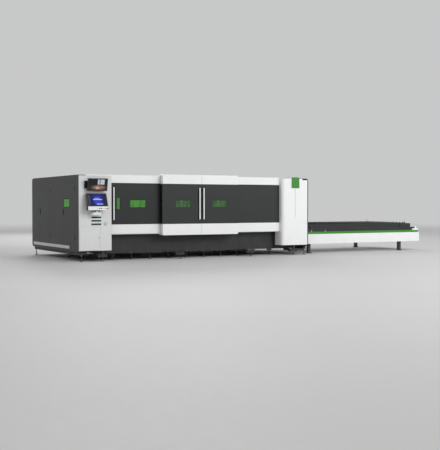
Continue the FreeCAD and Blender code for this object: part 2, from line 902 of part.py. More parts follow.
def rounded_slab(name, span, softenedFace):
    """An upright slab across the machine with large round corners and a softened outer rim."""
    body = new_body(name)
    profile = rectangle(("wallSetback", "bodyDepth"), ("wallBottom", "wallTop"))
    pad(body, "x", span, [profile])
    rounded(body, "wallCorner", lambda edge: runs_along(edge, 0))
    rounded(body, "cornerSoftening", lambda edge: at(edge, 0, softenedFace, "originX"))
    return body


def service_door_spans(start):
    across = (start, f"{start} + serviceDoorWidth")
    return across, ("serviceDoorBottom", "serviceDoorTop")


def grown(span, margin):
    return (f"({span[0]}) - ({margin})", f"({span[1]}) + ({margin})")


def make_left_end_wall():
    """Folded end wall, open behind, with two rebated doorways."""
    body = rounded_slab("end_wall_sheet", ("0", "wallThickness"), "0")
    inside = rectangle(grown(("wallSetback", "bodyDepth"), "-wallRim"),
                       grown(("wallBottom", "wallTop"), "-wallRim"))
    pocket(body, "x", ("serviceDoorThickness + wallSkin", "wallThickness"), [inside])
    for start in ("frontDoorStart", "rearDoorStart"):
        across, height = service_door_spans(start)
        pocket(body, "x", ("0", "serviceDoorThickness + seatGap"), [rectangle(across, height)])
    lips = []
    for start in ("frontDoorStart", "rearDoorStart"):
        across, height = service_door_spans(start)
        lips.append(rectangle(grown(across, "-rebateLip"), grown(height, "-rebateLip")))
    pocket(body, "x", ("0", "wallThickness"), lips)
    wall = body
    for name, start in (("wall_door_front", "frontDoorStart"), ("wall_door_rear", "rearDoorStart")):
        leaf = service_door(name + "_sheet", start, name == "wall_door_front")
        hinge = ("0", f"{start} + doorGap")
        leaf, wall = hinged(leaf, wall, hinge, ("serviceDoorBottom", "serviceDoorTop"))
        node(leaf, name)
    return node(wall, "left_end_wall")


def service_door(name, start, windowed):
    """A flush door leaf with a dished pull and, on the front one, a viewing window."""
    body = new_body(name)
    across, height = service_door_spans(start)
    leaf = (grown(across, "-doorGap"), grown(height, "-doorGap"))
    pad(body, "x", ("0", "serviceDoorThickness"), [rectangle(*leaf)])
    pullMiddle = f"{across[1]} - pullInset"
    pullSpan = (f"{pullMiddle} - pullWidth / 2", f"{pullMiddle} + pullWidth / 2")
    pullRise = ("pullCentreHeight - pullHeight / 2", "pullCentreHeight + pullHeight / 2")
    pocket(body, "x", ("0", "pullDepth"), [rectangle(pullSpan, pullRise)])
    if windowed:
        wide, rise = wall_window()
        pocket(body, "x", ("0", "paneSetback + paneThickness + seatGap"), [rectangle(wide, rise)])
        pocket(body, "x", ("0", "serviceDoorThickness"),
               [rectangle(grown(wide, "-paneLap"), grown(rise, "-paneLap"))])
    return body


def wall_window():
    return (("wallWindowStart", "wallWindowStart + wallWindowWidth"),
            ("wallWindowBottom", "wallWindowBottom + wallWindowHeight"))


def make_wall_window():
    """The pane of the front service door, seated in a rebate of the leaf."""
    across, rise = wall_window()
    reach = ("paneSetback", "paneSetback + paneThickness")
    return node(block(reach, grown(across, "-seatGap"), grown(rise, "-seatGap")), "wall_door_window")


def make_kick_strip():
    reach = ("-kickStripProud", "0")
    height = ("kickStripBottom", "kickStripBottom + kickStripHeight")
    return node(block(reach, ("kickStripStart", "kickStripEnd"), height), "left_kick_strip")


def make_right_end_wall():
    """The end wall on the table side, with one slot that passes both pallet levels."""
    body = rounded_slab("right_end_wall", ("rightWall", "bodyLength"), "bodyLength")
    slot = rectangle(grown(("girderInner", far("girderInner")), "slotMargin"),
                     ("lowerWallSlot", "upperWallSlot"))
    inside = rectangle(grown(("wallSetback", "bodyDepth"), "-wallRim"),
                       ("upperWallSlot + wallRim", "wallTop - wallRim"))
    pocket(body, "x", ("rightWall", "bodyLength"), [slot])
    before = body.Tip.Shape.Volume
    sketch = sketch_at(body, "x", "rightWall")
    outline(sketch, inside, planeOrigins["x"])
    behind = body.newObject("PartDesign::Pocket", "Pocket")
    behind.Profile = sketch
    behind.Reversed = True
    bind(behind, "Length", "wallThickness - serviceDoorThickness - wallSkin")
    body.Tip = behind
    doc.recompute()
    if behind.Shape.Volume >= before:
        raise RuntimeError("right_end_wall: the back was not hollowed")
    return node(body, "right_end_wall")


# ---- front: beams, control column, right column ----

def make_upper_beam():
    """Top beam with the hanging track for the middle leaves, a guide below and a roof shelf."""
    body = new_body("upper_beam")
    face, back, low, high = "bandFace", "upperBeamBack", "upperBandBottom", "upperBandTop"
    points = [(face, low)]
    points += [("doorTrackStart", low), ("doorTrackStart", f"{low} - trackHeight")]
    points += [("doorTrackEnd", f"{low} - trackHeight"), ("doorTrackEnd", low)]
    points += [(back, low), (back, "roofBottom - roofSheet"),
               (f"{back} + roofShelf", "roofBottom - roofSheet")]
    points += [(f"{back} + roofShelf", "roofBottom"), (back, "roofBottom"), (back, high)]
    points += [("trackEnd", high), ("trackEnd", f"{high} + trackHeight")]
    points += [("trackStart", f"{high} + trackHeight"), ("trackStart", high), (face, high)]
    pad(body, "x", ("wallThickness", "rightColumnStart"), [points])
    return node(body, "upper_beam")


def make_lower_beam():
    """Sill beam: it meets the bed girder behind and guides the doors above and below."""
    body = new_body("lower_beam")
    face, back, low, high = "bandFace", "girderOuter", "lowerBandBottom", "lowerBandTop"
    points = [(face, low), ("trackStart", low), ("trackStart", f"{low} - trackHeight")]
    points += [("trackEnd", f"{low} - trackHeight"), ("trackEnd", low), (back, low)]
    points += [(back, high), ("doorTrackEnd", high)]
    points += [("doorTrackEnd", f"{high} + trackHeight"), ("doorTrackStart", f"{high} + trackHeight")]
    points += [("doorTrackStart", high), (face, high)]
    pad(body, "x", ("columnWidth", "rightColumnStart"), [points])
    return node(body, "lower_beam")


def make_control_column():
    """Cabinet column: a wide front fascia over the end wall and a hollow box behind it."""
    body = new_body("column_shell")
    pad(body, "y", ("0", "columnFascia"), [rectangle(("0", "columnWidth"), ("columnBottom", "columnTop"))])
    boxed = rectangle(("columnBox", "columnWidth"), ("columnBottom", "columnBoxTop"))
    pad(body, "y", ("columnFascia - 1", "columnBack"), [boxed])
    rebate = rectangle(("doorEdge", "cabinetDoorEnd"), ("columnBottom + doorEdge", "cabinetDoorTop"))
    pocket(body, "y", ("0", "cabinetDoorThickness + seatGap"), [rebate])
    mouth = rectangle(("cabinetOpeningStart", "cabinetDoorEnd - cabinetOpeningMargin"),
                      ("columnBottom + doorEdge + cabinetOpeningMargin",
                       "cabinetDoorTop - cabinetOpeningMargin"))
    pocket(body, "y", ("0", "columnFascia"), [mouth])
    cavity = rectangle(grown(("columnBox", "columnWidth"), "-columnSheet"),
                       grown(("columnBottom", "columnBoxTop"), "-columnSheet"))
    pocket(body, "y", ("columnFascia", "columnBack - columnSheet"), [cavity])
    slots, grooves = [], []
    for place in range(3):
        low = f"lowestVent + {place} * ventPitch - ventSlotHeight / 2"
        slots.append(rectangle(("ventStart", "ventStart + ventWidth"), (low, f"{low} + ventSlotHeight")))
        middle = f"lowestVent + {place} * ventPitch"
        line = (f"{middle} - grooveWidth / 2", f"{middle} + grooveWidth / 2")
        grooves.append(rectangle(("grooveWidth * 8", "ventStart - grooveWidth * 13"), line))
    pocket(body, "y", ("0", "columnFascia"), slots)
    pocket(body, "y", ("0", "grooveWidth / 2"), grooves)
    rounded(body, "columnCorner", lambda edge: runs_along(edge, 2) and at(edge, 1, "0", "originY")
            and at(edge, 0, "columnWidth", "originX"))
    bore = rod((0, 1, 0), ("switchCentreX", "-1", "switchHeight"), "switchStem + shaftClearance",
               "columnFascia - 4")
    hinge = ("doorEdge + doorGap", "0")
    leaf, shell = hinged(cabinet_door(), cut(body, [bore]), hinge,
                         ("columnBottom + doorEdge", "cabinetDoorTop"))
    node(leaf, "cabinet_door")
    return node(shell, "control_column")


def cabinet_door():
    """The lower cabinet door with a turned-in edge and the bore for its lock."""
    body = new_body("cabinet_door_leaf")
    leaf = rectangle(("doorEdge + doorGap", "cabinetDoorEnd - doorGap"),
                     ("columnBottom + doorEdge + doorGap", "cabinetDoorTop - doorGap"))
    pad(body, "y", ("0", "cabinetDoorThickness"), [leaf])
    rounded(body, "2", lambda edge: at(edge, 1, "0", "originY"))
    bore = rod((0, 1, 0), ("lockCentreX", "-1", "lockHeight"), "lockRadius + shaftClearance",
               "cabinetDoorThickness + 2")
    return cut(body, [bore])


def make_cabinet_lock():
    """Quarter-turn lock barrel with a raised grip."""
    place = ("lockCentreX", "0", "lockHeight")
    profile = [("0", "-cabinetDoorThickness + 4"), ("lockRadius", "-cabinetDoorThickness + 4"),
               ("lockRadius", "0"),
               ("lockRadius", "3"), ("lockRadius - 3", "6"), ("0", "6")]
    barrel = turned("lock_barrel", place, (0, -1, 0), profile)
    grip = block(("lockCentreX - 2.5", "lockCentreX + 2.5"), ("-lockProud", "-5"),
                 grown(("lockHeight", "lockHeight"), "(lockRadius - 3)"))
    return node(fused([barrel, grip]), "cabinet_lock")


def make_vent_louvres():
    """Three vent inserts, each a back plate with two slanting blades."""
    inserts = []
    for place in range(3):
        low = f"lowestVent + {place} * ventPitch - ventSlotHeight / 2"
        body = new_body(f"vent_insert_{place}")
        back, front = "columnFascia", "columnFascia - ventRecess"
        points = [(back, low), (back, f"{low} + ventSlotHeight"), (front, f"{low} + ventSlotHeight")]
        points += [(f"{front} + 10", f"{low} + 22"), (front, f"{low} + 19"),
                   (f"{front} + 10", f"{low} + 12")]
        points += [(front, f"{low} + 9"), (f"{front} + 10", f"{low} + 2"), (front, low)]
        pad(body, "x", ("ventStart", "ventStart + ventWidth"), [points])
        inserts.append(body)
    return node(grouped(inserts), "vent_louvres")


def make_control_plate():
    """Mounting plate inside the column with terminal rails, ducts and drive units on it."""
    start, end = "columnBox + columnSheet + plateInset", "columnWidth - columnSheet - plateInset"
    back = "columnBack - columnSheet"
    bottom = "columnBottom + 3 * plateInset"
    face = f"{back} - plateThickness"
    plate = block((start, end), (face, back), (bottom, "cabinetDoorTop + plateOverrun"))
    pieces = [plate]
    for row in range(3):
        low = f"{bottom} + firstUnitRise + {row} * unitRowPitch"
        reach = (f"{face} - unitRailDepth", face)
        pieces.append(block((f"{start} + plateInset", f"{end} - plateInset"), reach,
                            (low, f"{low} + unitRailHeight")))
        for unit in range(5):
            left = f"{start} + 2 * plateInset + {unit} * unitPitch"
            depth = (f"{reach[0]} - unitDepth", reach[0])
            rise = (f"{low} - unitRailHeight", f"{low} + 2 * unitRailHeight")
            pieces.append(block((left, f"{left} + unitWidth - {unit} * unitTaper"), depth, rise))
    return node(fused(pieces), "control_plate")


def make_main_switch():
    """Round main switch knob with a grip bar, on a stem in the fascia."""
    place = ("switchCentreX", "0", "switchHeight")
    profile = [("0", "-20"), ("switchStem", "-20"), ("switchStem", "seatGap"), ("switchRadius", "seatGap"),
               ("switchRadius", "8"), ("switchRadius - 6", "16"), ("0", "16")]
    knob = turned("switch_knob", place, (0, -1, 0), profile)
    grip = block(grown(("switchCentreX", "switchCentreX"), "7"), ("-switchProud", "-15"),
                 grown(("switchHeight", "switchHeight"), "(switchRadius - 8)"))
    return node(fused([knob, grip]), "main_switch")


def make_right_column():
    """Tall hollow column beside the pallet slot, round at its left front corner."""
    body = new_body("right_column_shell")
    start, end = "rightColumnStart", "rightColumnEnd"
    boxEnd, depth, sheet_ = "rightWall - panelSeam", "rightColumnBack", "rightColumnSheet"
    points = [(start, "0"), (end, "0"), (end, "wallSetback"), (boxEnd, "wallSetback"), (boxEnd, depth),
              (start, depth)]
    pad(body, "z", ("rightColumnBottom", "rightColumnTop"), [points])
    rounded(body, "rightColumnRadius", lambda edge: runs_along(edge, 2) and at(edge, 0, start, "originX")
            and at(edge, 1, "0", "originY"))
    rounded(body, "cornerSoftening", lambda edge: runs_along(edge, 2) and at(edge, 0, end, "originX")
            and at(edge, 1, "0", "originY"))
    inner = [(f"{start} + {sheet_}", "rightColumnRadius"), (f"{start} + rightColumnRadius", sheet_),
             (f"{boxEnd} - {sheet_}", sheet_), (f"{boxEnd} - {sheet_}", f"{depth} - {sheet_}"),
             (f"{start} + {sheet_}", f"{depth} - {sheet_}")]
    pocket(body, "z", ("rightColumnBottom", "rightColumnTop - rightColumnSheet"), [inner])
    step = rectangle((f"{boxEnd} - 40", f"{end} + 1"),
                     ("rightColumnTop - 2 * rightColumnSheet", "rightColumnTop + 1"))
    pocket(body, "y", ("-1", "wallSetback"), [step])
    middle = "capStart + capWidth / 2"
    groove = rectangle((f"{middle} - grooveWidth / 2", f"{middle} + grooveWidth / 2"),
                       ("capBottom - 850", "capBottom - 8"))
    pocket(body, "y", ("0", "grooveWidth"), [groove])
    return node(body, "right_column")


def make_column_cap():
    """Green cap folded over the top edge of the right column."""
    body = new_body("column_cap")
    points = [("-capProud", "capBottom"), ("0", "capBottom"), ("0", "rightColumnTop"),
              ("capReach", "rightColumnTop"),
              ("capReach", "capTop"), ("-capProud", "capTop")]
    pad(body, "x", ("capStart", "capStart + capWidth"), [points])
    rounded(body, "capCorner", lambda edge: runs_along(edge, 0) and at(edge, 2, "capTop")
            and at(edge, 1, "-capProud", "originY"))
    rounded(body, "capCorner / 3", lambda edge: runs_along(edge, 2) and at(edge, 1, "-capProud", "originY"))
    return node(body, "column_cap")


# ---- screens and buttons ----

def pivot_knuckle(middle, reach, height, halfWidth):
    return rod((1, 0, 0), (f"{middle} - {halfWidth}", f"-({reach})", height), "pivotRadius",
               f"2 * ({halfWidth})")


def make_screen_brackets():
    """The column's two brackets: a flat mount for the monitor and an arm for the console."""
    height = ("monitorPivotHeight - monitorMountHeight / 2", "monitorPivotHeight + monitorMountHeight / 2")
    mount = block(("monitorMountLeft", "monitorMountLeft + monitorMountWidth"),
                  ("-monitorMountDepth", "0"), height)
    neck = block(grown(("monitorMiddle", "monitorMiddle"), "kneeHalf"),
                 ("-monitorPivotReach", "-monitorMountDepth"),
                 grown(("monitorPivotHeight", "monitorPivotHeight"), "10"))
    knuckle = pivot_knuckle("monitorMiddle", "monitorPivotReach", "monitorPivotHeight", "earHalf")
    upper = fused([mount, neck, knuckle])
    arm = block(grown(("screenMiddle", "screenMiddle"), "armHalf"), ("-consolePivotReach - 16", "0"),
                ("consolePivotHeight - 28 - armHeight", "consolePivotHeight - 28"))
    post = block(grown(("screenMiddle", "screenMiddle"), "kneeHalf"),
                 ("-consolePivotReach - 10", "-consolePivotReach + 10"),
                 ("consolePivotHeight - 28", "consolePivotHeight"))
    knuckle = pivot_knuckle("screenMiddle", "consolePivotReach", "consolePivotHeight", "earHalf")
    return node(grouped([upper, fused([arm, post, knuckle])]), "screen_brackets")


def ears(middle, reach, height, towards):
    """Two round ears that run on a knuckle; towards is the block that ties them to the housing."""
    pieces = []
    for start in (f"{middle} + kneeHalf + 1", f"{middle} - earHalf"):
        span = (start, f"{start} + earWidth")
        ear = rod((1, 0, 0), (start, f"-({reach})", height), "pivotRadius + earWall", "earWidth")
        tie = block(span, towards[0], towards[1])
        bore = rod((1, 0, 0), (f"{start} - 1", f"-({reach})", height), "pivotRadius + shaftClearance",
                   "earWidth + 2")
        pieces.append(cut(fused([ear, tie]), [bore]))
    return pieces


def make_upper_monitor():
    body = new_body("monitor_housing")
    low, reach = "monitorBottomHeight", "monitorReach"
    rise, lean = "monitorHeight * cos(monitorLean)", "monitorHeight * sin(monitorLean)"
    thickUp, thickBack = "monitorThickness * sin(monitorLean)", "monitorThickness * cos(monitorLean)"
    points = [(f"-{reach}", low), (f"-{reach} - {lean}", f"{low} + {rise}"),
              (f"-{reach} - {lean} + {thickBack}", f"{low} + {rise} + {thickUp}"),
              (f"-{reach} + {thickBack}", f"{low} + {thickUp}")]
    pad(body, "x", ("monitorLeft", "monitorLeft + screenWidth"), [points])
    face = []
    for part, out in ((0.05, "-5"), (0.05, "screenRecess"), (0.95, "screenRecess"), (0.95, "-5")):
        face.append((f"-{reach} - {part} * {lean} + {out}", f"{low} + {part} * {rise}"))
    pocket(body, "x", ("monitorLeft + screenBezel", "monitorLeft + screenWidth - screenBezel"), [face])
    tie = (("-monitorReach - 10", "-monitorPivotReach"),
           grown(("monitorPivotHeight", "monitorPivotHeight"), "16"))
    hinge = ears("monitorMiddle", "monitorPivotReach", "monitorPivotHeight", tie)
    return node(fused([body] + hinge), "upper_monitor")


def console_points():
    reach, low = "consoleReach", "consoleBottomHeight"
    return [(f"-{reach}", low), (f"-{reach}", f"{low} + keyStripHeight"),
            ("-consoleTopReach", "consoleTopHeight"),
            ("-consoleTopReach + consoleDepth", "consoleTopHeight"),
            (f"-{reach} + 2 * consoleDepth", f"{low} + keyStripHeight"),
            (f"-{reach} + 2 * consoleDepth", low)]


def make_console():
    """Wedge-shaped console: a leaning screen above an upright strip of buttons."""
    body = new_body("console_housing")
    pad(body, "x", ("consoleLeft", "consoleLeft + screenWidth"), [console_points()])
    low = "consoleBottomHeight + keyStripHeight"
    slope = "consoleTopHeight - consoleBottomHeight - keyStripHeight"
    lean = "consoleReach - consoleTopReach"
    face = []
    for part, out in ((0.04, "-5"), (0.04, "screenRecess"), (0.96, "screenRecess"), (0.96, "-5")):
        face.append((f"-consoleReach + {part} * ({lean}) + {out}", f"{low} + {part} * ({slope})"))
    pocket(body, "x", ("consoleLeft + screenBezel", "consoleLeft + screenWidth - screenBezel"), [face])
    tie = (grown(("-consolePivotReach", "-consolePivotReach"), "16"),
           ("consolePivotHeight", "consoleBottomHeight + 4"))
    hinge = ears("screenMiddle", "consolePivotReach", "consolePivotHeight", tie)
    bores = []
    for x in ("startButtonX", "pauseButtonX"):
        bores.append(rod((0, 1, 0), (x, "-consoleReach - 1", "buttonHeight"), "buttonRadius + seatGap",
                         "buttonDepth + 1"))
    bores.append(rod((0, 1, 0), ("stopButtonX", "-consoleReach - 1", "buttonHeight"),
                     "stopButtonStem + seatGap",
                     "buttonDepth + 6"))
    return node(cut(fused([body] + hinge), bores), "console")


def make_button(name, x):
    """A push button: a softened cap whose skirt runs in the console's bore."""
    profile = [("0", "-buttonDepth + buttonTravel + 1"),
               ("buttonRadius", "-buttonDepth + buttonTravel + 1"),
               ("buttonRadius", "buttonProud - 2"), ("buttonRadius - 2", "buttonProud"),
               ("0", "buttonProud")]
    return node(turned(name, (x, "-consoleReach", "buttonHeight"), (0, -1, 0), profile), name)


def make_emergency_stop():
    """Mushroom-headed stop button."""
    stem, head, proud = "stopButtonStem", "stopButtonRadius", "stopButtonProud"
    profile = [("0", "-buttonDepth + 1"), (stem, "-buttonDepth + 1"), (stem, f"{proud} - 22"),
               (f"{head} - 4", f"{proud} - 22"),
               (head, f"{proud} - 16"), (head, f"{proud} - 8"), (f"{head} - 5", f"{proud} - 2"),
               (f"{head} - 9", proud), ("0", proud)]
    place = ("stopButtonX", "-consoleReach", "buttonHeight")
    return node(turned("emergency_stop", place, (0, -1, 0), profile), "emergency_stop")


# ---- sliding doors ----

def window_spans(start, width, low, height):
    return (start, f"{start} + {width}"), (low, f"{low} + {height}")


def cut_windows(body, face, back, spans):
    """A rebate for each pane from the front and a smaller hole through the leaf behind it."""
    rebates = [rectangle(across, rise) for across, rise in spans]
    holes = [rectangle(grown(across, "-paneLap"), grown(rise, "-paneLap")) for across, rise in spans]
    pocket(body, "y", (face, f"{face} + paneSetback + paneThickness + seatGap"), rebates)
    pocket(body, "y", (face, back), holes)


def pane(face, span):
    across, rise = grown(span[0], "-seatGap"), grown(span[1], "-seatGap")
    return block(across, (f"{face} + paneSetback", f"{face} + paneSetback + paneThickness"), rise)


def handle_recess(middle):
    across = (f"{middle} - handleRecessWidth / 2", f"{middle} + handleRecessWidth / 2")
    return across, ("handleBottom - handleRecessMargin", "handleTop + handleRecessMargin")


def cut_handle_recess(body, face, middle):
    pocket(body, "y", (face, f"{face} + handleRecess"), [rectangle(*handle_recess(middle))])


def make_handle(name, face, middle):
    """A long flat bar on two bent feet that stand on the floor of the leaf's recess."""
    body = new_body(name)
    front, bar, floor = f"{face} - handleProud", f"{face} - handleProud + handleBar", f"{face} + handleRecess"
    low, high = "handleBottom", "handleTop"
    points = [(front, low), (floor, low), (floor, f"{low} + handleFoot"), (bar, f"{low} + handleFoot")]
    points += [(bar, f"{high} - handleFoot"), (floor, f"{high} - handleFoot"), (floor, high), (front, high)]
    pad(body, "x", (f"{middle} - handleWidth / 2", f"{middle} + handleWidth / 2"), [points])
    rounded(body, "handleBend", lambda edge: runs_along(edge, 0) and at(edge, 1, front, "originY"))
    return node(body, name)


def side_door_windows():
    return [window_spans("sideDoorStart + narrowWindowInset", "narrowWindowWidth", "narrowWindowBottom",
                         "narrowWindowHeight"),
            window_spans("sideDoorStart + wideWindowInset", "wideWindowWidth", "windowBottom",
                         "windowHeight")]


def make_left_door():
    """The inner sliding door, guided by a ridge above and one below, with a plate let in behind the handle."""
    body = new_body("left_door_sheet")
    face, back = "doorFace", "doorFace + leafThickness"
    low, high = "lowerBandTop + doorEdgeGap", "upperBandBottom - doorEdgeGap"
    near, off = "doorTrackStart - trackGap", "doorTrackEnd + trackGap"
    lowGroove, highGroove = "lowerBandTop + trackHeight + seatGap", "upperBandBottom - trackHeight - seatGap"
    points = [(face, low), (near, low), (near, lowGroove), (off, lowGroove), (off, low), (back, low),
              (back, high)]
    points += [(off, high), (off, highGroove), (near, highGroove), (near, high), (face, high)]
    pad(body, "x", ("sideDoorStart", "sideDoorEnd"), [points])
    cut_windows(body, face, back, side_door_windows())
    across, rise = handle_recess("sideHandleX")
    pocket(body, "y", (face, back), [rectangle(across, rise)])
    dish = block(across, (f"{face} + handleRecess", back), rise)
    node(grouped([body, dish]), "left_door")
    node(grouped([pane(face, span) for span in side_door_windows()]), "left_door_windows")
    make_handle("left_door_handle", face, "sideHandleX")


def make_middle_leaf(name, span, windowStart, handleX, outerEdge):
    """An outer leaf with deep rails, hung on the top beam and guided under the sill beam."""
    body = new_body(name)
    low, high = "middleBottom", "middleTop"
    near, off = "trackStart - trackGap", "trackEnd + trackGap"
    lipBelow, lipAbove = "middleBottom + bottomLip", "middleTop - topLip"
    lowGroove, highGroove = "lowerBandBottom - trackHeight - seatGap", "upperBandTop + trackHeight + seatGap"
    points = [("0", low), ("hangerReach", low), ("hangerReach", lipBelow), ("middleRailDepth", lipBelow)]
    points += [("middleRailDepth", "lowerBandTop"), ("middlePanelDepth", "lowerBandTop")]
    points += [("middlePanelDepth", "middleRailBottom"), ("middleRailDepth", "middleRailBottom")]
    points += [("middleRailDepth", lipAbove), ("hangerReach", lipAbove), ("hangerReach", high), ("0", high)]
    points += [("0", "middleRailBottom"), ("middlePanelSetback", "middleRailBottom")]
    points += [("middlePanelSetback", "lowerBandTop"), ("0", "lowerBandTop")]
    pad(body, "x", span, [points])
    rounded(body, "middleCorner", lambda edge: runs_along(edge, 1) and at(edge, 0, outerEdge, "originX")
            and (at(edge, 2, low) or at(edge, 2, high)))
    pocket(body, "x", span, [rectangle((near, off), (lowGroove, lipBelow)),
                             rectangle((near, off), (lipAbove, highGroove))])
    window = window_spans(windowStart, "middleWindowWidth", "windowBottom", "windowHeight")
    cut_windows(body, "middlePanelSetback", "middlePanelDepth", [window])
    cut_handle_recess(body, "middlePanelSetback", handleX)
    node(body, name + "_leaf")
    node(pane("middlePanelSetback", window), name + "_window")
    make_handle(name + "_handle", "middlePanelSetback", handleX)


def make_middle_leaves():
    make_middle_leaf("middle_left", ("middleStart", "middleLeftEnd"),
                     "middleLeftEnd - leftWindowInset - middleWindowWidth",
                     "middleLeftEnd - middleHandleInset", "middleStart")
    make_middle_leaf("middle_right", ("middleRightStart", "middleEnd"),
                     "middleRightStart + rightWindowInset",
                     "middleRightStart + middleHandleInset", "middleEnd")


def make_fixed_front_panel():
    reach = ("doorFace", "doorFace + fixedPanelSheet")
    return node(block(("middleEnd - fixedPanelSheet", "rightColumnStart"), reach,
                      ("lowerBandTop", "upperBandBottom")),
                "fixed_front_panel")


def make_front_skirt():
    """A row of folded plates that close the bed below the sill beam."""
    plates = []
    whole = int((amount("skirtLastEnd") - amount("columnWidth")) // amount("skirtPitch"))
    for place in range(whole + 1):
        start = f"columnWidth + {place} * skirtPitch + skirtSeam / 2"
        end = "skirtLastEnd" if place == whole else f"{start} + skirtPitch - skirtSeam"
        if amount(end) - amount(start) < 8 * amount("skirtSheet"):
            continue
        body = new_body(f"skirt_plate_{place}")
        front, inner, back = "skirtFace", "skirtFace + skirtSheet", "girderOuter"
        points = [(start, front), (end, front), (end, back), (f"{end} - skirtSheet", back),
                  (f"{end} - skirtSheet", inner)]
        points += [(f"{start} + skirtSheet", inner), (f"{start} + skirtSheet", back), (start, back)]
        pad(body, "z", ("girderBottom", "lowerBandBottom"), [points])
        plates.append(body)
    return node(grouped(plates), "front_skirt")


# ---- rear: wall, doors, roof and source ----

def rear_door_spans():
    left = ("rearDoorMiddle - rearDoorWidth", "rearDoorMiddle")
    right = ("rearDoorMiddle", "rearDoorMiddle + rearDoorWidth")
    return left, right, ("rearDoorBottom", "rearDoorTop")


def make_rear_wall():
    """Rear panel with a double doorway, two sets of louvres and the fume outlet."""
    body = new_body("rear_wall_panel")
    pad(body, "y", ("rearInner", "rearFace"),
        [rectangle(("columnBox", "rightWall - panelSeam"), ("wallBottom", "roofBottom"))])
    left, right, rise = rear_door_spans()
    both = (left[0], right[1])
    pocket(body, "y", ("rearFace - rearDoorThickness - seatGap", "rearFace"), [rectangle(both, rise)])
    pocket(body, "y", ("rearInner", "rearFace"),
           [rectangle(grown(both, "-rebateLip"), grown(rise, "-rebateLip"))])
    slots = []
    for start in ("columnBox + louvreInset", "rightWall - louvreInset - louvreLength"):
        slots.append(rectangle((start, f"{start} + louvreLength"),
                               ("louvreBottom", "louvreBottom + louvreHeight")))
    first = pocket(body, "y", ("rearInner", "rearFace"), slots)
    repeated(body, first, "Z_Axis", "louvrePitch", "louvreCount")
    shelf = block(("columnBox", "rightWall - panelSeam"), ("rearInner - roofShelf", "rearInner"),
                  ("roofBottom - roofSheet", "roofBottom"))
    place = ("spigotX", "rearFace", "spigotHeight")
    tube = rod((0, 1, 0), place, "spigotRadius", "spigotLength")
    flange = rod((0, 1, 0), place, "spigotFlange", "flangeSheet")
    start = ("spigotX", "rearInner - 1", "spigotHeight")
    bore = rod((0, 1, 0), start, "spigotRadius - spigotWall", "rearPanelThickness + spigotLength + 2")
    wall = cut(fused([body, shelf, tube, flange]), [bore])
    doors = (("rear_door_left", left, f"{left[0]} + doorGap", f"{left[1]} - pullInset"),
             ("rear_door_right", right, f"{right[1]} - doorGap", f"{right[0]} + pullInset"))
    for name, across, hingeX, pullX in doors:
        leaf, wall = hinged(rear_door(name + "_sheet", across, rise, pullX), wall, (hingeX, "rearFace"),
                            rise)
        node(leaf, name)
    return node(wall, "rear_wall")


def rear_door(name, span, rise, pullX):
    """A flush rear door leaf with a dished pull."""
    body = new_body(name)
    leaf = rectangle(grown(span, "-doorGap"), grown(rise, "-doorGap"))
    pad(body, "y", ("rearFace - rearDoorThickness", "rearFace"), [leaf])
    pull = rectangle((f"{pullX} - pullWidth / 2", f"{pullX} + pullWidth / 2"),
                     ("pullCentreHeight - pullHeight / 2", "pullCentreHeight + pullHeight / 2"))
    pocket(body, "y", ("rearFace - pullDepth", "rearFace"), [pull])
    return body


def make_roof_panels():
    """A row of folded roof pans that rest on the shelves of the top beam and the rear wall."""
    pans = []
    count = int(amount("roofPans"))
    step = "(rightWall - panelSeam - columnBox) / roofPans"
    for place in range(count):
        start = f"columnBox + {place} * {step} + doorGap / 2"
        end = f"columnBox + {place + 1} * {step} - doorGap / 2"
        body = new_body(f"roof_pan_{place}")
        low, skin, top = "roofBottom", "roofTop - roofSkin", "roofTop"
        points = [(start, low), (f"{start} + roofFold", low), (f"{start} + roofFold", skin),
                  (f"{end} - roofFold", skin)]
        points += [(f"{end} - roofFold", low), (end, low), (end, top), (start, top)]
        pad(body, "y", ("upperBeamBack + panelSeam", "rearFace - panelSeam"), [points])
        pans.append(body)
    return node(grouped(pans), "roof_panels")


def make_laser_source():
    """The laser source cabinet with a framed door, a pull and a bank of louvres."""
    body = new_body("source_cabinet")
    front = "rearInner - sourceSetback - sourceDepth"
    back = "rearInner - sourceSetback"
    rise = ("wallBottom", "wallBottom + sourceHeight")
    across = ("sourceStart", "sourceStart + sourceWidth")
    pad(body, "y", (front, back), [rectangle(across, rise)])
    rounded(body, "cornerSoftening", lambda edge: runs_along(edge, 1))
    panels = [rectangle(("sourceStart + wallRim", "sourceStart + sourceWidth / 2 - wallRim / 2"),
                        grown(rise, "-wallRim")),
              rectangle(("sourceStart + sourceWidth / 2 + wallRim / 2",
                         "sourceStart + sourceWidth - wallRim"), grown(rise, "-wallRim"))]
    pocket(body, "y", (f"{back} - 4", back), panels)
    slot = rectangle(("sourceStart + 2 * wallRim", "sourceStart + sourceWidth / 2 - 2 * wallRim"),
                     ("wallBottom + 3 * wallRim", "wallBottom + 3 * wallRim + louvreHeight"))
    first = pocket(body, "y", (f"{back} - 24", back), [slot])
    repeated(body, first, "Z_Axis", "louvrePitch", "louvreCount")
    return node(body, "laser_source")


# ---- gantry, head carriage and cutting head ----

def on_both_sides(name, x, profile):
    """The same bar run along the front girder and, mirrored, along the rear one."""
    pieces = []
    for side, flip in (("front", lambda y: y), ("rear", far)):
        body = new_body(f"{name}_{side}")
        pad(body, "x", x, [[(flip(y), z) for y, z in profile]])
        pieces.append(body)
    return pieces


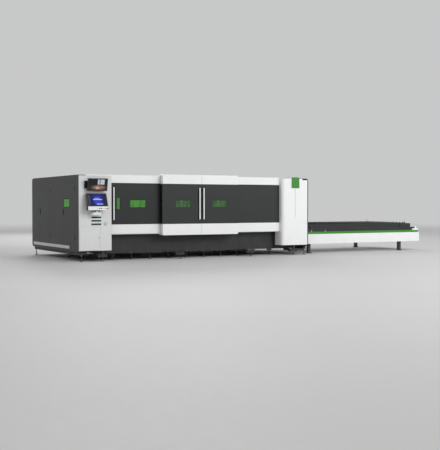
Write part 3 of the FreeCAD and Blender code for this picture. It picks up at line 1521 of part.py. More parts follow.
def make_gantry_rails():
    """Profiled linear rails and racks on top of both girders."""
    start, low = "girderOuter + linearRailSetback", "girderTop"
    end, top = f"{start} + linearRailWidth", "linearRailTop"
    waist, third = "linearRailWidth / 10", "linearRailHeight / 3"
    profile = [(start, low), (end, low), (end, f"{low} + {third}"),
               (f"{end} - {waist}", f"{low} + 1.4 * {third}")]
    profile += [(f"{end} - {waist}", f"{low} + 2 * {third}"), (end, f"{low} + 2.4 * {third}"),
                (end, top), (start, top)]
    profile += [(start, f"{low} + 2.4 * {third}"), (f"{start} + {waist}", f"{low} + 2 * {third}")]
    profile += [(f"{start} + {waist}", f"{low} + 1.4 * {third}"), (start, f"{low} + {third}")]
    pieces = on_both_sides("linear_rail", ("girderStart + 20", "girderEnd - 20"), profile)
    pieces += mirrored_block(("girderStart + 20", "girderEnd - 20"),
                             ("girderOuter + rackSetback", "girderOuter + rackSetback + rackWidth"),
                             ("girderTop", "girderTop + rackHeight"))
    return node(grouped(pieces), "gantry_rails")


def make_gantry_beam():
    """A hollow bridge on two end carriages, with two rails for the head on its right face."""
    body = new_body("bridge_tube")
    across = ("gantryStart", "gantryFace")
    rise = ("gantryBottom", "gantryTop")
    pad(body, "y", ("gantryFront", far("gantryFront")),
        [rectangle(across, rise), rectangle(grown(across, "-gantryWall"), grown(rise, "-gantryWall"))])
    rails = []
    for low in ("lowerCrossRail", "upperCrossRail"):
        rails.append(block(("gantryFace", "gantryFace + crossRailDepth"),
                           ("gantryFront + crossRailInset", far("gantryFront + crossRailInset")),
                           (low, f"{low} + crossRailHeight")))
    start, end = "gantryFront", "gantryFront + carriageWidth"
    near = "girderOuter + linearRailSetback - trackGap"
    off = "girderOuter + linearRailSetback + linearRailWidth + trackGap"
    low, roof = "girderTop + carriageGap", "linearRailTop + seatGap"
    profile = [(start, low), (near, low), (near, roof), (off, roof), (off, low), (end, low),
               (end, "gantryBottom"), (start, "gantryBottom")]
    carriages = on_both_sides("end_carriage", ("gantryStart", "gantryStart + carriageLength"), profile)
    gussets = []
    for flip in (lambda y: y, far):
        gusset = new_body("carriage_gusset")
        points = [("gantryFace", "gantryBottom"), ("gantryStart + carriageLength", "gantryBottom"),
                  ("gantryFace", "gantryBottom + gantryHeight / 2")]
        span = (flip("gantryFront"), flip("gantryFront + crossRailInset - 10"))
        span = span if amount(span[0]) < amount(span[1]) else (span[1], span[0])
        pad(gusset, "y", span, [points])
        gussets.append(gusset)
    return node(fused([body] + rails + carriages + gussets), "gantry_beam")


def make_gantry_drives():
    """Drive motors and gearboxes behind the bridge, one over each rack."""
    pieces = []
    start = "girderOuter + driveSetback"
    low = "linearRailTop + driveGap"
    for flip in (lambda y: y, far):
        across = (flip(start), flip(f"{start} + driveWidth"))
        across = across if amount(across[0]) < amount(across[1]) else (across[1], across[0])
        gearbox = block(("gantryStart - driveLength", "gantryStart"), across,
                        (low, f"{low} + driveHeight / 2"))
        middle = (("gantryStart - driveLength / 2"), flip(f"{start} + driveWidth / 2"))
        motor = rod((0, 0, 1), (middle[0], middle[1], f"{low} + driveHeight / 2"), "driveWidth / 2 - 8",
                    "driveHeight / 2")
        pieces.append(fused([gearbox, motor]))
    return node(grouped(pieces), "gantry_drives")


def make_head_carriage():
    """The saddle that runs along the bridge, with its own upright rails and a motor on top."""
    body = new_body("saddle")
    across = ("saddleStart", "saddleStart + saddleWidth")
    pad(body, "x", ("saddleStartX", "saddleEndX"), [rectangle(across, ("saddleBottom", "saddleTop"))])
    for low in ("lowerCrossRail", "upperCrossRail"):
        groove = rectangle(grown(across, "1"), (f"{low} - trackGap", f"{low} + crossRailHeight + trackGap"))
        pocket(body, "x", ("saddleStartX", "gantryFace + crossRailDepth + seatGap"), [groove])
    rails = []
    for middle in ("headY - zRailSpread / 2", "headY + zRailSpread / 2"):
        rails.append(block(("saddleEndX", "saddleEndX + zRailDepth"),
                           (f"{middle} - zRailWidth / 2", f"{middle} + zRailWidth / 2"),
                           ("saddleBottom + 4", "saddleTop - 4")))
    motor = block(("saddleStartX", "saddleStartX + zMotorSize * 3 / 4"),
                  grown(("headY", "headY"), "zMotorSize / 2"),
                  ("saddleTop", "saddleTop + zMotorHeight"))
    return node(fused([body, motor] + rails), "head_carriage")


def make_z_slide():
    """The upright slide plate in front of the saddle, grooved for the saddle's rails."""
    body = new_body("z_slide")
    across = ("headY - slideWidth / 2", "headY + slideWidth / 2")
    pad(body, "x", ("slideStartX", "slideEndX"), [rectangle(across, ("slideBottom", "slideTop"))])
    rounded(body, "cornerSoftening", lambda edge: at(edge, 0, "slideEndX", "originX"))
    grooves = []
    for middle in ("headY - zRailSpread / 2", "headY + zRailSpread / 2"):
        grooves.append(rectangle((f"{middle} - zRailWidth / 2 - trackGap",
                                  f"{middle} + zRailWidth / 2 + trackGap"),
                                 ("slideBottom - 1", "slideTop + 1")))
    pocket(body, "x", ("slideStartX", "saddleEndX + zRailDepth + seatGap"), grooves)
    return node(body, "z_slide")


def make_cutting_head():
    """The turned head: mirror housing, collar and nozzle, on a bracket from the slide."""
    radius, tall, tip = "headRadius", "headHeight", "-nozzleLength"
    profile = [("0", tip), ("nozzleRadius", tip), ("headRadius * 2 / 3", "0"), (radius, "0"),
               (radius, f"{tall} * 0.55"),
               ("headRadius * 0.86", f"{tall} * 0.57"), ("headRadius * 0.86", f"{tall} * 0.66"),
               (radius, f"{tall} * 0.68"), (radius, tall), ("headRadius / 2", tall), ("headRadius / 2",
                                                                                      f"{tall} + 40"),
               ("0", f"{tall} + 40")]
    head = turned("head_housing", ("headX", "headY", "headBottom"), (0, 0, 1), profile)
    bracket = block(("slideEndX", "headX - headRadius / 2"), grown(("headY", "headY"), "headRadius - 5"),
                    ("headBottom + 60", "headBottom + headHeight - 50"))
    return node(fused([head, bracket]), "cutting_head")


# ---- pallets ----

def moved(text, away):
    return f"({text}) - ({away})"


def make_pallet_frame(name, along, drop, footRise):
    """Side beams notched like a comb for the slats, cross members, pins, posts and chain lugs."""
    pieces = []
    for flip in (lambda y: y, far):
        body = new_body(name + "_beam")
        across = sorted((flip("beamOuter"), flip("beamInner")), key=amount)
        length = (moved("palletStart", along), moved("palletEnd", along))
        pad(body, "y", across, [rectangle(length, (moved("railTop", drop), moved("palletBeamTop", drop)))])
        half = "slatThickness / 2 + slotClearance"
        slot = rectangle((moved(f"firstSlat - ({half})", along), moved(f"firstSlat + {half}", along)),
                         (moved("slatSeat", drop), moved("palletBeamTop + 1", drop)))
        notch = pocket(body, "y", across, [slot])
        repeated(body, notch, "X_Axis", "slatPitch", "slatCount")
        pieces.append(body)
    bays = int(amount("palletBays"))
    starts = []
    for place in range(bays + 1):
        start = moved(f"palletStart + {place} * (palletLength - palletCrossWidth) / palletBays", along)
        top = "palletBeamTop" if place in (0, bays) else "railTop + palletCrossHeight"
        pieces.append(block((start, f"{start} + palletCrossWidth"), ("beamInner", far("beamInner")),
                            (moved("railTop", drop), moved(top, drop))))
        starts.append(start)
    rib = grown(("palletAxis", "palletAxis"), "palletRib / 2")
    height = (moved("railTop", drop), moved("slatSeat", drop))
    for start, following in zip(starts, starts[1:]):
        pieces.append(block((f"{start} + palletCrossWidth", following), rib, height))
    for x in ("palletStart + wheelInset", "palletEnd - wheelInset"):
        length = "beamOuter - wheelFace + wheelGap"
        height = moved("wheelAxis", drop)
        pieces.append(rod((0, -1, 0), (moved(x, along), "beamOuter", height), "pinRadius", length))
        pieces.append(rod((0, 1, 0), (moved(x, along), far("beamOuter"), height), "pinRadius", length))
    pieces += make_stop_posts(along, drop)
    pieces += make_lugs(along, drop, footRise)
    return node(grouped(pieces), name)


def make_stop_posts(along, drop):
    """Square posts near the right end, one between slats in front and one past them behind."""
    half = "stopPostSize / 2"
    front = ("beamOuter + 4", "beamOuter + 4 + stopPostSize")
    places = (("lastSlat - stopPostInset", front),
              ("palletEnd - stopPostInset", (far(front[1]), far(front[0]))))
    posts = []
    for x, across in places:
        length = (moved(f"{x} - {half}", along), moved(f"{x} + {half}", along))
        posts.append(block(length, across, (moved("palletBeamTop", drop), moved("stopPostTop", drop))))
    return posts


def make_lugs(along, drop, footRise):
    """The lugs that tie a pallet to one strand of the exchange chains."""
    length = (moved("lugStart", along), moved("lugStart + lugLength", along))
    low, high = footRise
    upper = "railTop" if drop == "0" else high
    lower = low if drop == "0" else moved("palletBeamTop", drop)
    pieces = mirrored_block(length, ("beamOuter", "beamOuter + lugThickness"), (lower, upper))
    pieces += mirrored_block(length, ("chainBack + trackGap", "beamOuter"), (low, high))
    return pieces


def make_pallet_slats(name, along, drop):
    """Saw-toothed slats standing in the comb notches of the side beams."""
    body = new_body(name)
    body.AllowCompound = True
    start, end = "beamOuter + slatEndInset", far("beamOuter + slatEndInset")
    low, root, tip = moved("slatSeat", drop), moved("slatTop - toothDepth", drop), moved("slatTop", drop)
    count = int(amount("toothCount"))
    first = "palletAxis - toothCount * toothPitch / 2"
    points = [(end, root), (end, low), (start, low), (start, root)]
    for tooth in range(count):
        points.append((f"{first} + {tooth} * toothPitch", root))
        points.append((f"{first} + ({tooth} + 0.5) * toothPitch", tip))
    points.append((f"{first} + toothCount * toothPitch", root))
    thick = (moved("firstSlat - slatThickness / 2", along), moved("firstSlat + slatThickness / 2", along))
    slat = pad(body, "x", thick, [points])
    repeated(body, slat, "X_Axis", "slatPitch", "slatCount")
    return node(body, name)


def make_wheel_pair(name, x, along, drop):
    """One flanged wheel on each side of the pallet, running on the rail ledges."""
    bore = "pinRadius + shaftClearance"
    profile = [(bore, "0"), ("wheelRadius", "0"), ("wheelRadius", "wheelWidth"),
               ("wheelRadius * 0.84", "wheelWidth"),
               ("wheelRadius * 0.8", "wheelWidth * 0.8"), ("wheelRadius * 0.55", "wheelWidth * 0.8"),
               ("wheelRadius * 0.5", "wheelWidth"), (bore, "wheelWidth")]
    height = moved("wheelAxis", drop)
    inner = "wheelFace + wheelWidth"
    front = turned(name + "_front", (moved(x, along), inner, height), (0, -1, 0), profile)
    rear = turned(name + "_rear", (moved(x, along), far(inner), height), (0, 1, 0), profile)
    return node(grouped([front, rear]), name)


def make_pallets():
    levels = (("outer", "0", "0", ("sprocketHeight + chainInnerRadius - 4",
                                   "sprocketHeight + strandReach")),
              ("inner", "palletTravel", "tierDrop",
               ("sprocketHeight - strandReach", "sprocketHeight - chainInnerRadius")))
    for name, along, drop, footRise in levels:
        make_pallet_frame(name + "_pallet_frame", along, drop, footRise)
        make_pallet_slats(name + "_pallet_slats", along, drop)
        make_wheel_pair(name + "_left_wheels", "palletStart + wheelInset", along, drop)
        make_wheel_pair(name + "_right_wheels", "palletEnd - wheelInset", along, drop)


# ---- exchange table and chain drive ----

def shaft_hole():
    return rod((0, 1, 0), ("sprocketX", "chordFace - 1", "sprocketHeight"),
               "driveShaftRadius + shaftClearance", "2 * (palletAxis - chordFace) + 2")


def make_gearmotor():
    """The hollow-shaft motor on the exchange shaft and the arm that holds it to the end beam."""
    middle = ("sprocketX", "palletAxis - gearmotorLength / 2", "sprocketHeight")
    motor = rod((0, 1, 0), middle, "gearmotorRadius", "gearmotorLength")
    across = grown(("palletAxis", "palletAxis"), "gearmotorLength / 4")
    arm = block(("sprocketX", "chordEnd - endBeamHeight"), across,
                grown(("sprocketHeight", "sprocketHeight"), "motorArmHeight / 2"))
    return cut(fused([motor, arm]), [shaft_hole()])


def make_table_frame():
    """Butted chords, posts, cross beams and legs, with a rail ledge on each side at both levels."""
    outer, inner = "chordFace", "girderInner"
    length = ("chordStart", "chordEnd")
    upper = mirrored_block(length, (outer, inner), ("upperChordBottom", "railTop"))
    pieces = [cut(chord, [shaft_hole()]) for chord in upper]
    pieces += mirrored_block(length, (outer, inner), ("lowerChordBottom", "lowerRailTop"))
    stub, web = ("railSplit + panelSeam", "chordStart"), (f"{inner} - railThickness", inner)
    for top, stop in (("railTop", "chordEnd - endBeamHeight"), ("lowerRailTop", "chordEnd")):
        ledge = (f"{top} - railThickness", top)
        pieces += mirrored_block(("railSplit + panelSeam", stop), (inner, "railEdge"), ledge)
        pieces += mirrored_block(stub, web, (f"{top} - railStubHeight", top))
    posts = int(amount("tablePostCount"))
    for place in range(posts):
        start = f"firstTablePost + {place} * tablePostPitch"
        pieces += mirrored_block((start, f"{start} + chordWidth"), (outer, inner),
                                 ("lowerRailTop", "upperChordBottom"))
    between = (inner, far(inner))
    lowBeam = ("lowerChordBottom", "lowerChordBottom + endBeamHeight")
    legs = ("firstTablePost", f"firstTablePost + {posts - 1} * tablePostPitch")
    for x in ("chordStart", legs[0], legs[1]):
        pieces.append(block((x, f"{x} + endBeamHeight"), between, lowBeam))
    end = ("chordEnd - endBeamHeight", "chordEnd")
    pieces.append(block(end, between, ("railTop - endBeamHeight - endBeamDrop", "railTop - endBeamDrop")))
    pieces.append(block(end, between, lowBeam))
    for x in legs:
        across = (outer, "chordFace + tableLegSize")
        pieces += mirrored_block((x, f"{x} + tableLegSize"), across, ("tableLegBottom", "lowerChordBottom"))
        plate = grown((f"{x} + tableLegSize / 2", f"{x} + tableLegSize / 2"), "legPlate / 2")
        spread = grown(("chordFace + tableLegSize / 2", "chordFace + tableLegSize / 2"), "legPlate / 2")
        pieces += mirrored_block(plate, spread, ("0", "tableLegBottom"))
    return node(grouped(pieces + [make_gearmotor()]), "table_frame")


def make_table_side_panels():
    """White cover sheets with folded edges, the end cover, corner brackets and guide pegs."""
    front, skin, back = "tableFace", "tableFace + panelSheet", "chordFace"
    low, high = "tablePanelBottom", "tablePanelTop"
    profile = [(front, low), (back, low), (back, f"{low} + panelSheet"), (skin, f"{low} + panelSheet"),
               (skin, f"{high} - panelSheet"), (back, f"{high} - panelSheet"), (back, high), (front, high)]
    pieces = on_both_sides("table_cover", ("tableStart", "tableEnd - panelSheet"), profile)
    pieces.append(block(("tableEnd - panelSheet", "tableEnd"), (front, far(front)), (low, high)))
    pieces.append(block(("chordEnd", "tableEnd - panelSheet"), (back, far(back)),
                        ("lowerRailTop - panelSheet - endSheetDrop", "lowerRailTop - endSheetDrop")))
    brackets = []
    span = ("bracketStart", "bracketStart + bracketLength")
    foot_ = ("upperChordBottom", "upperChordBottom + bracketSheet")
    upright = (front, "tableFace + bracketSheet")
    middle = "bracketStart + bracketLength / 2 - bracketUpstandWidth / 2"
    sides = zip(mirrored_block(span, upright, ("tableStripTop", "tableStripTop + bracketHeight")),
                mirrored_block(span, (front, back), foot_),
                mirrored_block((middle, f"{middle} + bracketUpstandWidth"), upright,
                               ("tableStripTop", "tableStripTop + bracketUpstand")))
    for side in sides:
        brackets.append(fused(list(side)))
    pegs = []
    for x in ("tableStart + firstPegInset", "tableStart + firstPegInset + pegPitch"):
        for y in ("tableFace + pegInset", far("tableFace + pegInset")):
            pegs.append(rod((0, 0, 1), (x, y, "tableStripTop"), "guidePegRadius", "guidePegHeight"))
    return node(grouped(pieces + brackets + pegs), "table_side_panels")


def make_table_strips():
    """Green strips above the covers, folded in to the posts."""
    front, skin, back = "tableFace", "tableFace + panelSheet", "chordFace"
    low, high = "tablePanelTop", "tableStripTop"
    profile = [(front, low), (skin, low), (skin, f"{high} - panelSheet"), (back, f"{high} - panelSheet"),
               (back, high), (front, high)]
    return node(grouped(on_both_sides("table_strip", ("tableStart", "chordEnd"), profile)), "table_strips")


def chain_loop(across):
    """A flat chain band: two straight strands joined by half rounds."""
    outer, inner = "strandReach", "chainInnerRadius"
    shapes = []
    for reach in (outer, inner):
        ends = []
        for x in ("chainEndX", "sprocketX"):
            ends.append(rod((0, 1, 0), (x, across[0], "sprocketHeight"), reach,
                            f"({across[1]}) - ({across[0]})"))
        strand = block(("chainEndX", "sprocketX"), across,
                       grown(("sprocketHeight", "sprocketHeight"), reach))
        shapes.append(fused(ends + [strand]))
    return cut(shapes[0], [shapes[1]])


def make_exchange_chains():
    across = ("chainFace", "chainBack")
    loops = [chain_loop(across), chain_loop((far(across[1]), far(across[0])))]
    return node(grouped(loops + make_chain_shoes()), "exchange_chains")


def make_exchange_shaft():
    """Cross shaft with a toothed sprocket inside each chain."""
    start = "chordFace + 5"
    shaft = rod((0, 1, 0), ("sprocketX", start, "sprocketHeight"), "driveShaftRadius",
                "2 * (palletAxis - chordFace - 5)")
    pieces = [shaft]
    inset = "(chainWidth - sprocketWidth) / 2"
    for y in (f"chainFace + {inset}", far(f"chainBack - {inset}")):
        wheel = doc.addObject("Part::Prism", "Sprocket")
        bind(wheel, "Polygon", "sprocketTeeth")
        bind(wheel, "Circumradius", "sprocketRadius")
        bind(wheel, "Height", "sprocketWidth")
        wheel.Placement = Placement(Vector(), Rotation(Vector(0, 0, 1), Vector(0, 1, 0)))
        bind(wheel, "Placement.Base.x", "sprocketX - originX")
        bind(wheel, "Placement.Base.y", f"({y}) - originY")
        bind(wheel, "Placement.Base.z", "sprocketHeight")
        pieces.append(cut(wheel, [shaft_hole()]))
    return node(grouped(pieces), "exchange_shaft")


# ---- build, check and write ----

make_bed_frame()
make_levelling_feet()
make_base_frame()
make_left_end_wall()
make_kick_strip()
make_wall_window()
make_right_end_wall()
make_upper_beam()
make_lower_beam()
make_control_column()
make_cabinet_lock()
make_vent_louvres()
make_control_plate()
make_main_switch()
make_right_column()
make_column_cap()
make_screen_brackets()
make_upper_monitor()
make_console()
make_button("start_button", "startButtonX")
make_button("pause_button", "pauseButtonX")
make_emergency_stop()
make_left_door()
make_middle_leaves()
make_fixed_front_panel()
make_front_skirt()
make_rear_wall()
make_roof_panels()
make_laser_source()
make_gantry_rails()
make_gantry_beam()
make_gantry_drives()
make_head_carriage()
make_z_slide()
make_cutting_head()
make_pallets()
make_table_frame()
make_table_side_panels()
make_table_strips()
make_exchange_chains()
make_exchange_shaft()

doc.recompute()

for item in doc.Objects:
    if "Invalid" in item.State or "Error" in item.State:
        raise RuntimeError(f"{item.Label} did not build")
for piece in nodes:
    if piece.Shape.isNull() or not piece.Shape.isValid():
        raise RuntimeError(f"{piece.Label} has no sound shape")

os.makedirs("parts", exist_ok=True)
for piece in nodes:
    piece.Shape.exportStep(f"parts/{piece.Label}.step")
print(f"{len(nodes)} nodes written")
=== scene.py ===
import math
from itertools import product
import bmesh
import bpy
from mathutils import Matrix, Vector


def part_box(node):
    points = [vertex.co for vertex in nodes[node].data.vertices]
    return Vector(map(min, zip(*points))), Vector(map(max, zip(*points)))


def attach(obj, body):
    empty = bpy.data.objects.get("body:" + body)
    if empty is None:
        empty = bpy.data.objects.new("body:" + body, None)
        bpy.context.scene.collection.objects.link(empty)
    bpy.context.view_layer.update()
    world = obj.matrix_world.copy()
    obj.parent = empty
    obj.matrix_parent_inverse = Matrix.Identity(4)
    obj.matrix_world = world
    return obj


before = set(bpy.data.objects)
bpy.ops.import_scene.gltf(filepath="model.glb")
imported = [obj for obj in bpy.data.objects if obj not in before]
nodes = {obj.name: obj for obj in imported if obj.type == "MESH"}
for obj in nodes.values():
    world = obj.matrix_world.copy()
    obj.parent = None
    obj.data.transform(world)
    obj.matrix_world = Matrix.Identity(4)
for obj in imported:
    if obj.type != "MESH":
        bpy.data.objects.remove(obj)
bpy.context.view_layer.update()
print("frame loaded:", len(nodes), "nodes")

# shader helpers; now holds the tree being built
now = {}


def feed(socket, value):
    # a link or a value; a colour of three numbers gets its fourth
    if isinstance(value, bpy.types.NodeSocket):
        socket.id_data.links.new(value, socket)
    elif socket.type == "RGBA" and len(value) == 3:
        socket.default_value = value + (1.0,)
    else:
        socket.default_value = value


def addNode(kind, *values, **settings):
    # values for the inputs in order, None skips one
    node = now["tree"].nodes.new("ShaderNode" + kind)
    for key, value in settings.items():
        setattr(node, key, value)
    for socket, value in zip(node.inputs, values):
        if value is not None:
            feed(socket, value)
    return node


def setInputs(node, **values):
    # an underscore stands for a space
    for label, value in values.items():
        feed(node.inputs[label.replace("_", " ")], value)


def mathNode(operation, *values, clamp=False):
    return addNode("Math", *values, operation=operation, use_clamp=clamp).outputs[0]


def times(first, second, clamp=False):
    return mathNode("MULTIPLY", first, second, clamp=clamp)


def vectorNode(operation, *values):
    node = addNode("VectorMath", *values, operation=operation)
    return node.outputs["Value" if operation in ("DOT_PRODUCT", "LENGTH") else "Vector"]


def rangeNode(value, low, high, outLow=0.0, outHigh=1.0, smooth=False):
    kind = "SMOOTHSTEP" if smooth else "LINEAR"
    row = (value, low, high, outLow, outHigh)
    return addNode("MapRange", *row, interpolation_type=kind).outputs[0]


def noiseNode(vector, scale, detail=3.0, roughness=0.55):
    return addNode("TexNoise", vector, None, scale, detail, roughness).outputs["Fac"]


def mixColour(factor, first, second):
    unused = (None,) * 5
    return addNode("Mix", factor, *unused, first, second, data_type="RGBA").outputs[2]


def objectPlace():
    return addNode("TexCoord").outputs["Object"]


def split(vector):
    return addNode("SeparateXYZ", vector).outputs


def arrange(tree):
    # nodes in columns, by the longest way to the output
    column = {node.name: 0 for node in tree.nodes}
    for _ in column:
        for link in tree.links:
            start, end = link.from_node.name, link.to_node.name
            column[start] = max(column[start], column[end] + 1)
    filled = {}
    for name, place in column.items():
        filled[place] = filled.get(place, 0) + 1
        tree.nodes[name].location = (-220 * place, -280 * filled[place])


# shared effects, one group each
groups = {}


def newGroup(name, inputs, outputs):
    tree = now["tree"] = groups[name] = bpy.data.node_groups.new(name, "ShaderNodeTree")
    for label, default in inputs.items():
        kind = "Float" if isinstance(default, float) else {3: "Vector", 4: "Color"}[len(default)]
        socket = tree.interface.new_socket(name=label, in_out="INPUT",
            socket_type="NodeSocket" + kind)
        socket.default_value = default
    for label in outputs:
        kind = "Color" if label == "Colour" else "Float"
        tree.interface.new_socket(name=label, in_out="OUTPUT", socket_type="NodeSocket" + kind)
    return tree.nodes.new("NodeGroupInput").outputs, tree.nodes.new("NodeGroupOutput")


def makePowderCoat():
    # drifting colour, gloss, and a height in metres: fine peel on a wavy sheet
    given, out = newGroup("powderCoat",
        {"Colour": (0.5, 0.5, 0.5, 1.0), "Drift Scale": 1.4, "Drift": 0.06, "Roughness": 0.4,
        "Roughness Drift": 0.1, "Peel Scale": 420.0, "Peel Depth": 0.00003, "Wave Depth": 0.0006},
        ("Colour", "Roughness", "Height"))
    where = objectPlace()
    drift = noiseNode(where, given["Drift Scale"], 4.0, 0.6)
    centred = mathNode("SUBTRACT", drift, 0.5)
    tone = mathNode("MULTIPLY_ADD", centred, given["Drift"], 1.0)
    gloss = (centred, given["Roughness Drift"], given["Roughness"])
    peel = times(noiseNode(where, given["Peel Scale"], 2.0), given["Peel Depth"])
    wave = times(noiseNode(where, 1.1, 1.0), given["Wave Depth"])
    setInputs(out, Colour=vectorNode("SCALE", given["Colour"], None, None, tone),
        Roughness=mathNode("MULTIPLY_ADD", *gloss), Height=mathNode("ADD", peel, wave))


def makeEdgeWearAndHighlight():
    # 1 along edges, where the rounded normal leaves the flat one: bare edges that also serve as a
    # painted edge highlight
    given, out = newGroup("edgeWearAndHighlight", {"Width": 0.004, "Strength": 0.5, "Break-up": 14.0},
        ("Mask",))
    soft = addNode("Bevel", given["Width"], samples=4).outputs[0]
    flat = addNode("NewGeometry").outputs["Normal"]
    edge = rangeNode(vectorNode("DOT_PRODUCT", soft, flat), 0.985, 0.86)
    noise = noiseNode(objectPlace(), given["Break-up"], 5.0, 0.65)
    both = times(edge, rangeNode(noise, 0.42, 0.62))
    setInputs(out, Mask=times(both, given["Strength"], True))


def makeSettledDust():
    # dust thins out from Low to High and lies on faces that look up
    given, out = newGroup("settledDust", {"Low": 0.1, "High": 0.9, "Strength": 0.3}, ("Mask",))
    where = addNode("TexCoord").outputs
    height = split(where["Object"])["Z"]
    fade = rangeNode(height, given["Low"], given["High"], 1.0, 0.0, True)
    upward = rangeNode(split(where["Normal"])["Z"], 0.5, 0.95, 0.0, 0.8)
    cloud = rangeNode(noiseNode(where["Object"], 3.2, 6.0, 0.65), 0.3, 0.75)
    lying = times(mathNode("MAXIMUM", fade, upward), cloud)
    setInputs(out, Mask=times(lying, given["Strength"], True))


def makeBrushedGrain():
    # Stretch is small along the grain
    given, out = newGroup("brushedGrain", {"Stretch": (0.02, 1.0, 1.0), "Scale": 500.0},
        ("Tone", "Height"))
    where = objectPlace()
    pulled = vectorNode("MULTIPLY", where, given["Stretch"])
    streaks = noiseNode(pulled, given["Scale"], 4.0, 0.7)
    slow = times(noiseNode(where, 5.0, 4.0), 0.4)
    setInputs(out, Tone=mathNode("MULTIPLY_ADD", streaks, 0.6, slow),
        Height=times(streaks, 0.00004))


def makeZoneMask():
    # 1 between Start and End
    given, out = newGroup("zoneMask", {"Value": 0.0, "Start": 0.0, "End": 1.0, "Softness": 0.0005},
        ("Mask",))
    masks = []
    for key, outLow, outHigh in (("Start", 0.0, 1.0), ("End", 1.0, 0.0)):
        low, high = (mathNode(way, given[key], given["Softness"]) for way in ("SUBTRACT", "ADD"))
        masks.append(rangeNode(given["Value"], low, high, outLow, outHigh))
    setInputs(out, Mask=times(*masks))


for makeEffect in (makePowderCoat, makeEdgeWearAndHighlight, makeSettledDust, makeBrushedGrain, makeZoneMask):
    makeEffect()
print("shared effects ready:", len(groups))


def placeGroup(key, **values):
    node = addNode("Group", node_tree=groups[key])
    setInputs(node, **values)
    return node.outputs


materials = {}


def newMaterial(name):
    material = materials[name] = bpy.data.materials.new(name)
    material.use_nodes = True
    now["tree"] = material.node_tree
    return material.node_tree.nodes["Principled BSDF"]


def addBump(shader, height):
    bump = addNode("Bump")
    setInputs(bump, Strength=1.0, Distance=1.0, Height=height)
    setInputs(shader, Normal=bump.outputs[0])


# one row per paint: colour, roughness, drift of the colour, wear and painted highlight on the
# edges, dust
paints = {
    "wallPaint": ((0.025, 0.026, 0.027), 0.46, 0.18, 0.3, 0.12),
    "panelPaint": ((0.024, 0.025, 0.026), 0.4, 0.14, 0.25, 0.08),
    "doorPaint": ((0.019, 0.02, 0.021), 0.4, 0.14, 0.25, 0.08),
    "whitePaint": ((0.86, 0.863, 0.866), 0.3, 0.05, 0.22, 0.1),
    "columnPaint": ((0.73, 0.733, 0.735), 0.3, 0.05, 0.22, 0.1),
    "stripPaint": ((0.6, 0.61, 0.62), 0.4, 0.08, 0.3, 0.15),
    "greenPaint": ((0.05, 0.245, 0.03), 0.32, 0.1, 0.25, 0.06),
    "skirtPaint": ((0.021, 0.022, 0.023), 0.48, 0.16, 0.25, 0.07),
    "framePaint": ((0.026, 0.027, 0.028), 0.5, 0.22, 0.3, 0.12),
    "footPaint": ((0.012, 0.012, 0.013), 0.52, 0.22, 0.2, 0.14),
    "gantryPaint": ((0.5, 0.51, 0.52), 0.36, 0.08, 0.3, 0.25),
    "housingPaint": ((0.022, 0.022, 0.024), 0.33, 0.14, 0.25, 0.08),
    "blackPlastic": ((0.012, 0.012, 0.014), 0.46, 0.2, 0.15, 0.15),
    "ventGreen": ((0.02, 0.085, 0.024), 0.45, 0.2, 0.2, 0.2),
    # near black, used only as painted shade in the skirt's recess and the right column's groove
    "gapPaint": ((0.003, 0.003, 0.003), 0.6, 0.2, 0.1, 0.05),
    "ventRim": ((0.035, 0.15, 0.03), 0.36, 0.12, 0.2, 0.06),
    "redPlastic": ((0.55, 0.012, 0.01), 0.22, 0.08, 0.1, 0.04),
    "keyPlastic": ((0.02, 0.021, 0.023), 0.35, 0.12, 0.1, 0.05),
    "rubber": ((0.01, 0.01, 0.01), 0.72, 0.25, 0.1, 0.25)}
# pale grey of bare metal on edges, on dark paint also a painted edge highlight
wearAndHighlightColour = (0.42, 0.42, 0.41)
dustColour = (0.3, 0.29, 0.27)

# sheets of several colours, some zones being painted shade: the base paint, then (limits of a zone,
# its paint)
zonedPaints = {
    # middle leaves: the white rails are two-tone paint; the band of faces just behind the front
    # face is black painted shade in the recesses at the leaf's edges
    "leafPaint": ("panelPaint", (({"Z": (2.03, 3.0)}, "whitePaint"),
        ({"Z": (0.0, 0.947)}, "whitePaint"), ({"Y": (-1.896, -1.88)}, "blackPlastic"))),
    # left door: the band of faces just behind the front face is black painted shade in the gaps and
    # recesses round the door
    "sideLeafPaint": ("doorPaint", (({"Y": (-1.742, -1.729)}, "blackPlastic"),)),
    "fasciaPaint": ("columnPaint", (({"Y": (-1.8755, 3.0)}, "panelPaint"),)),
    # right end of the skirt in near black: painted shade of the recess between the skirt and the
    # right column
    "skirtZoned": ("skirtPaint", (({"X": (0.185, 0.4)}, "gapPaint"),)),
    "bracketPaint": ("blackPlastic", (({"Z": (0.0, 1.6)}, "whitePaint"),)),
    "capPaint": ("whitePaint", (({"Y": (-3.0, -1.919)}, "ventRim"),)),
    "palletPaint": ("framePaint", (({"Z": (0.906, 3.0)}, "stripPaint"),)),
    # right column: the inner faces of its groove in near black, painted shade inside the groove
    "grooved": ("whitePaint", (
        ({"X": (0.7605, 0.7675), "Y": (-1.908, -1.895), "Z": (1.1, 1.942)}, "gapPaint"),))}


def makePaint(name):
    # coat, bare edges that are also a painted edge highlight, dust
    shader = newMaterial(name)
    base, zones = zonedPaints.get(name, (name, ()))
    colour, roughness, drift, wearAndHighlight, dust = paints[base]
    for limits, other in zones:
        axes, mask = split(objectPlace()), 1.0
        for axis, (start, end) in limits.items():
            zone = placeGroup("zoneMask", Value=axes[axis], Start=start, End=end)
            mask = times(zone["Mask"], mask)
        colour = mixColour(mask, colour, paints[other][0])
    coat = placeGroup("powderCoat", Colour=colour, Drift=drift, Roughness=roughness)
    edges = placeGroup("edgeWearAndHighlight", Strength=wearAndHighlight)["Mask"]
    settled = placeGroup("settledDust", Strength=dust)["Mask"]
    wornAndLit = mixColour(edges, coat["Colour"], wearAndHighlightColour)
    setInputs(shader, Base_Color=mixColour(settled, wornAndLit, dustColour),
        Roughness=mathNode("MULTIPLY_ADD", settled, 0.35, coat["Roughness"]),
        Specular_IOR_Level=0.34, Coat_Weight=0.05, Coat_Roughness=0.18)
    addBump(shader, coat["Height"])


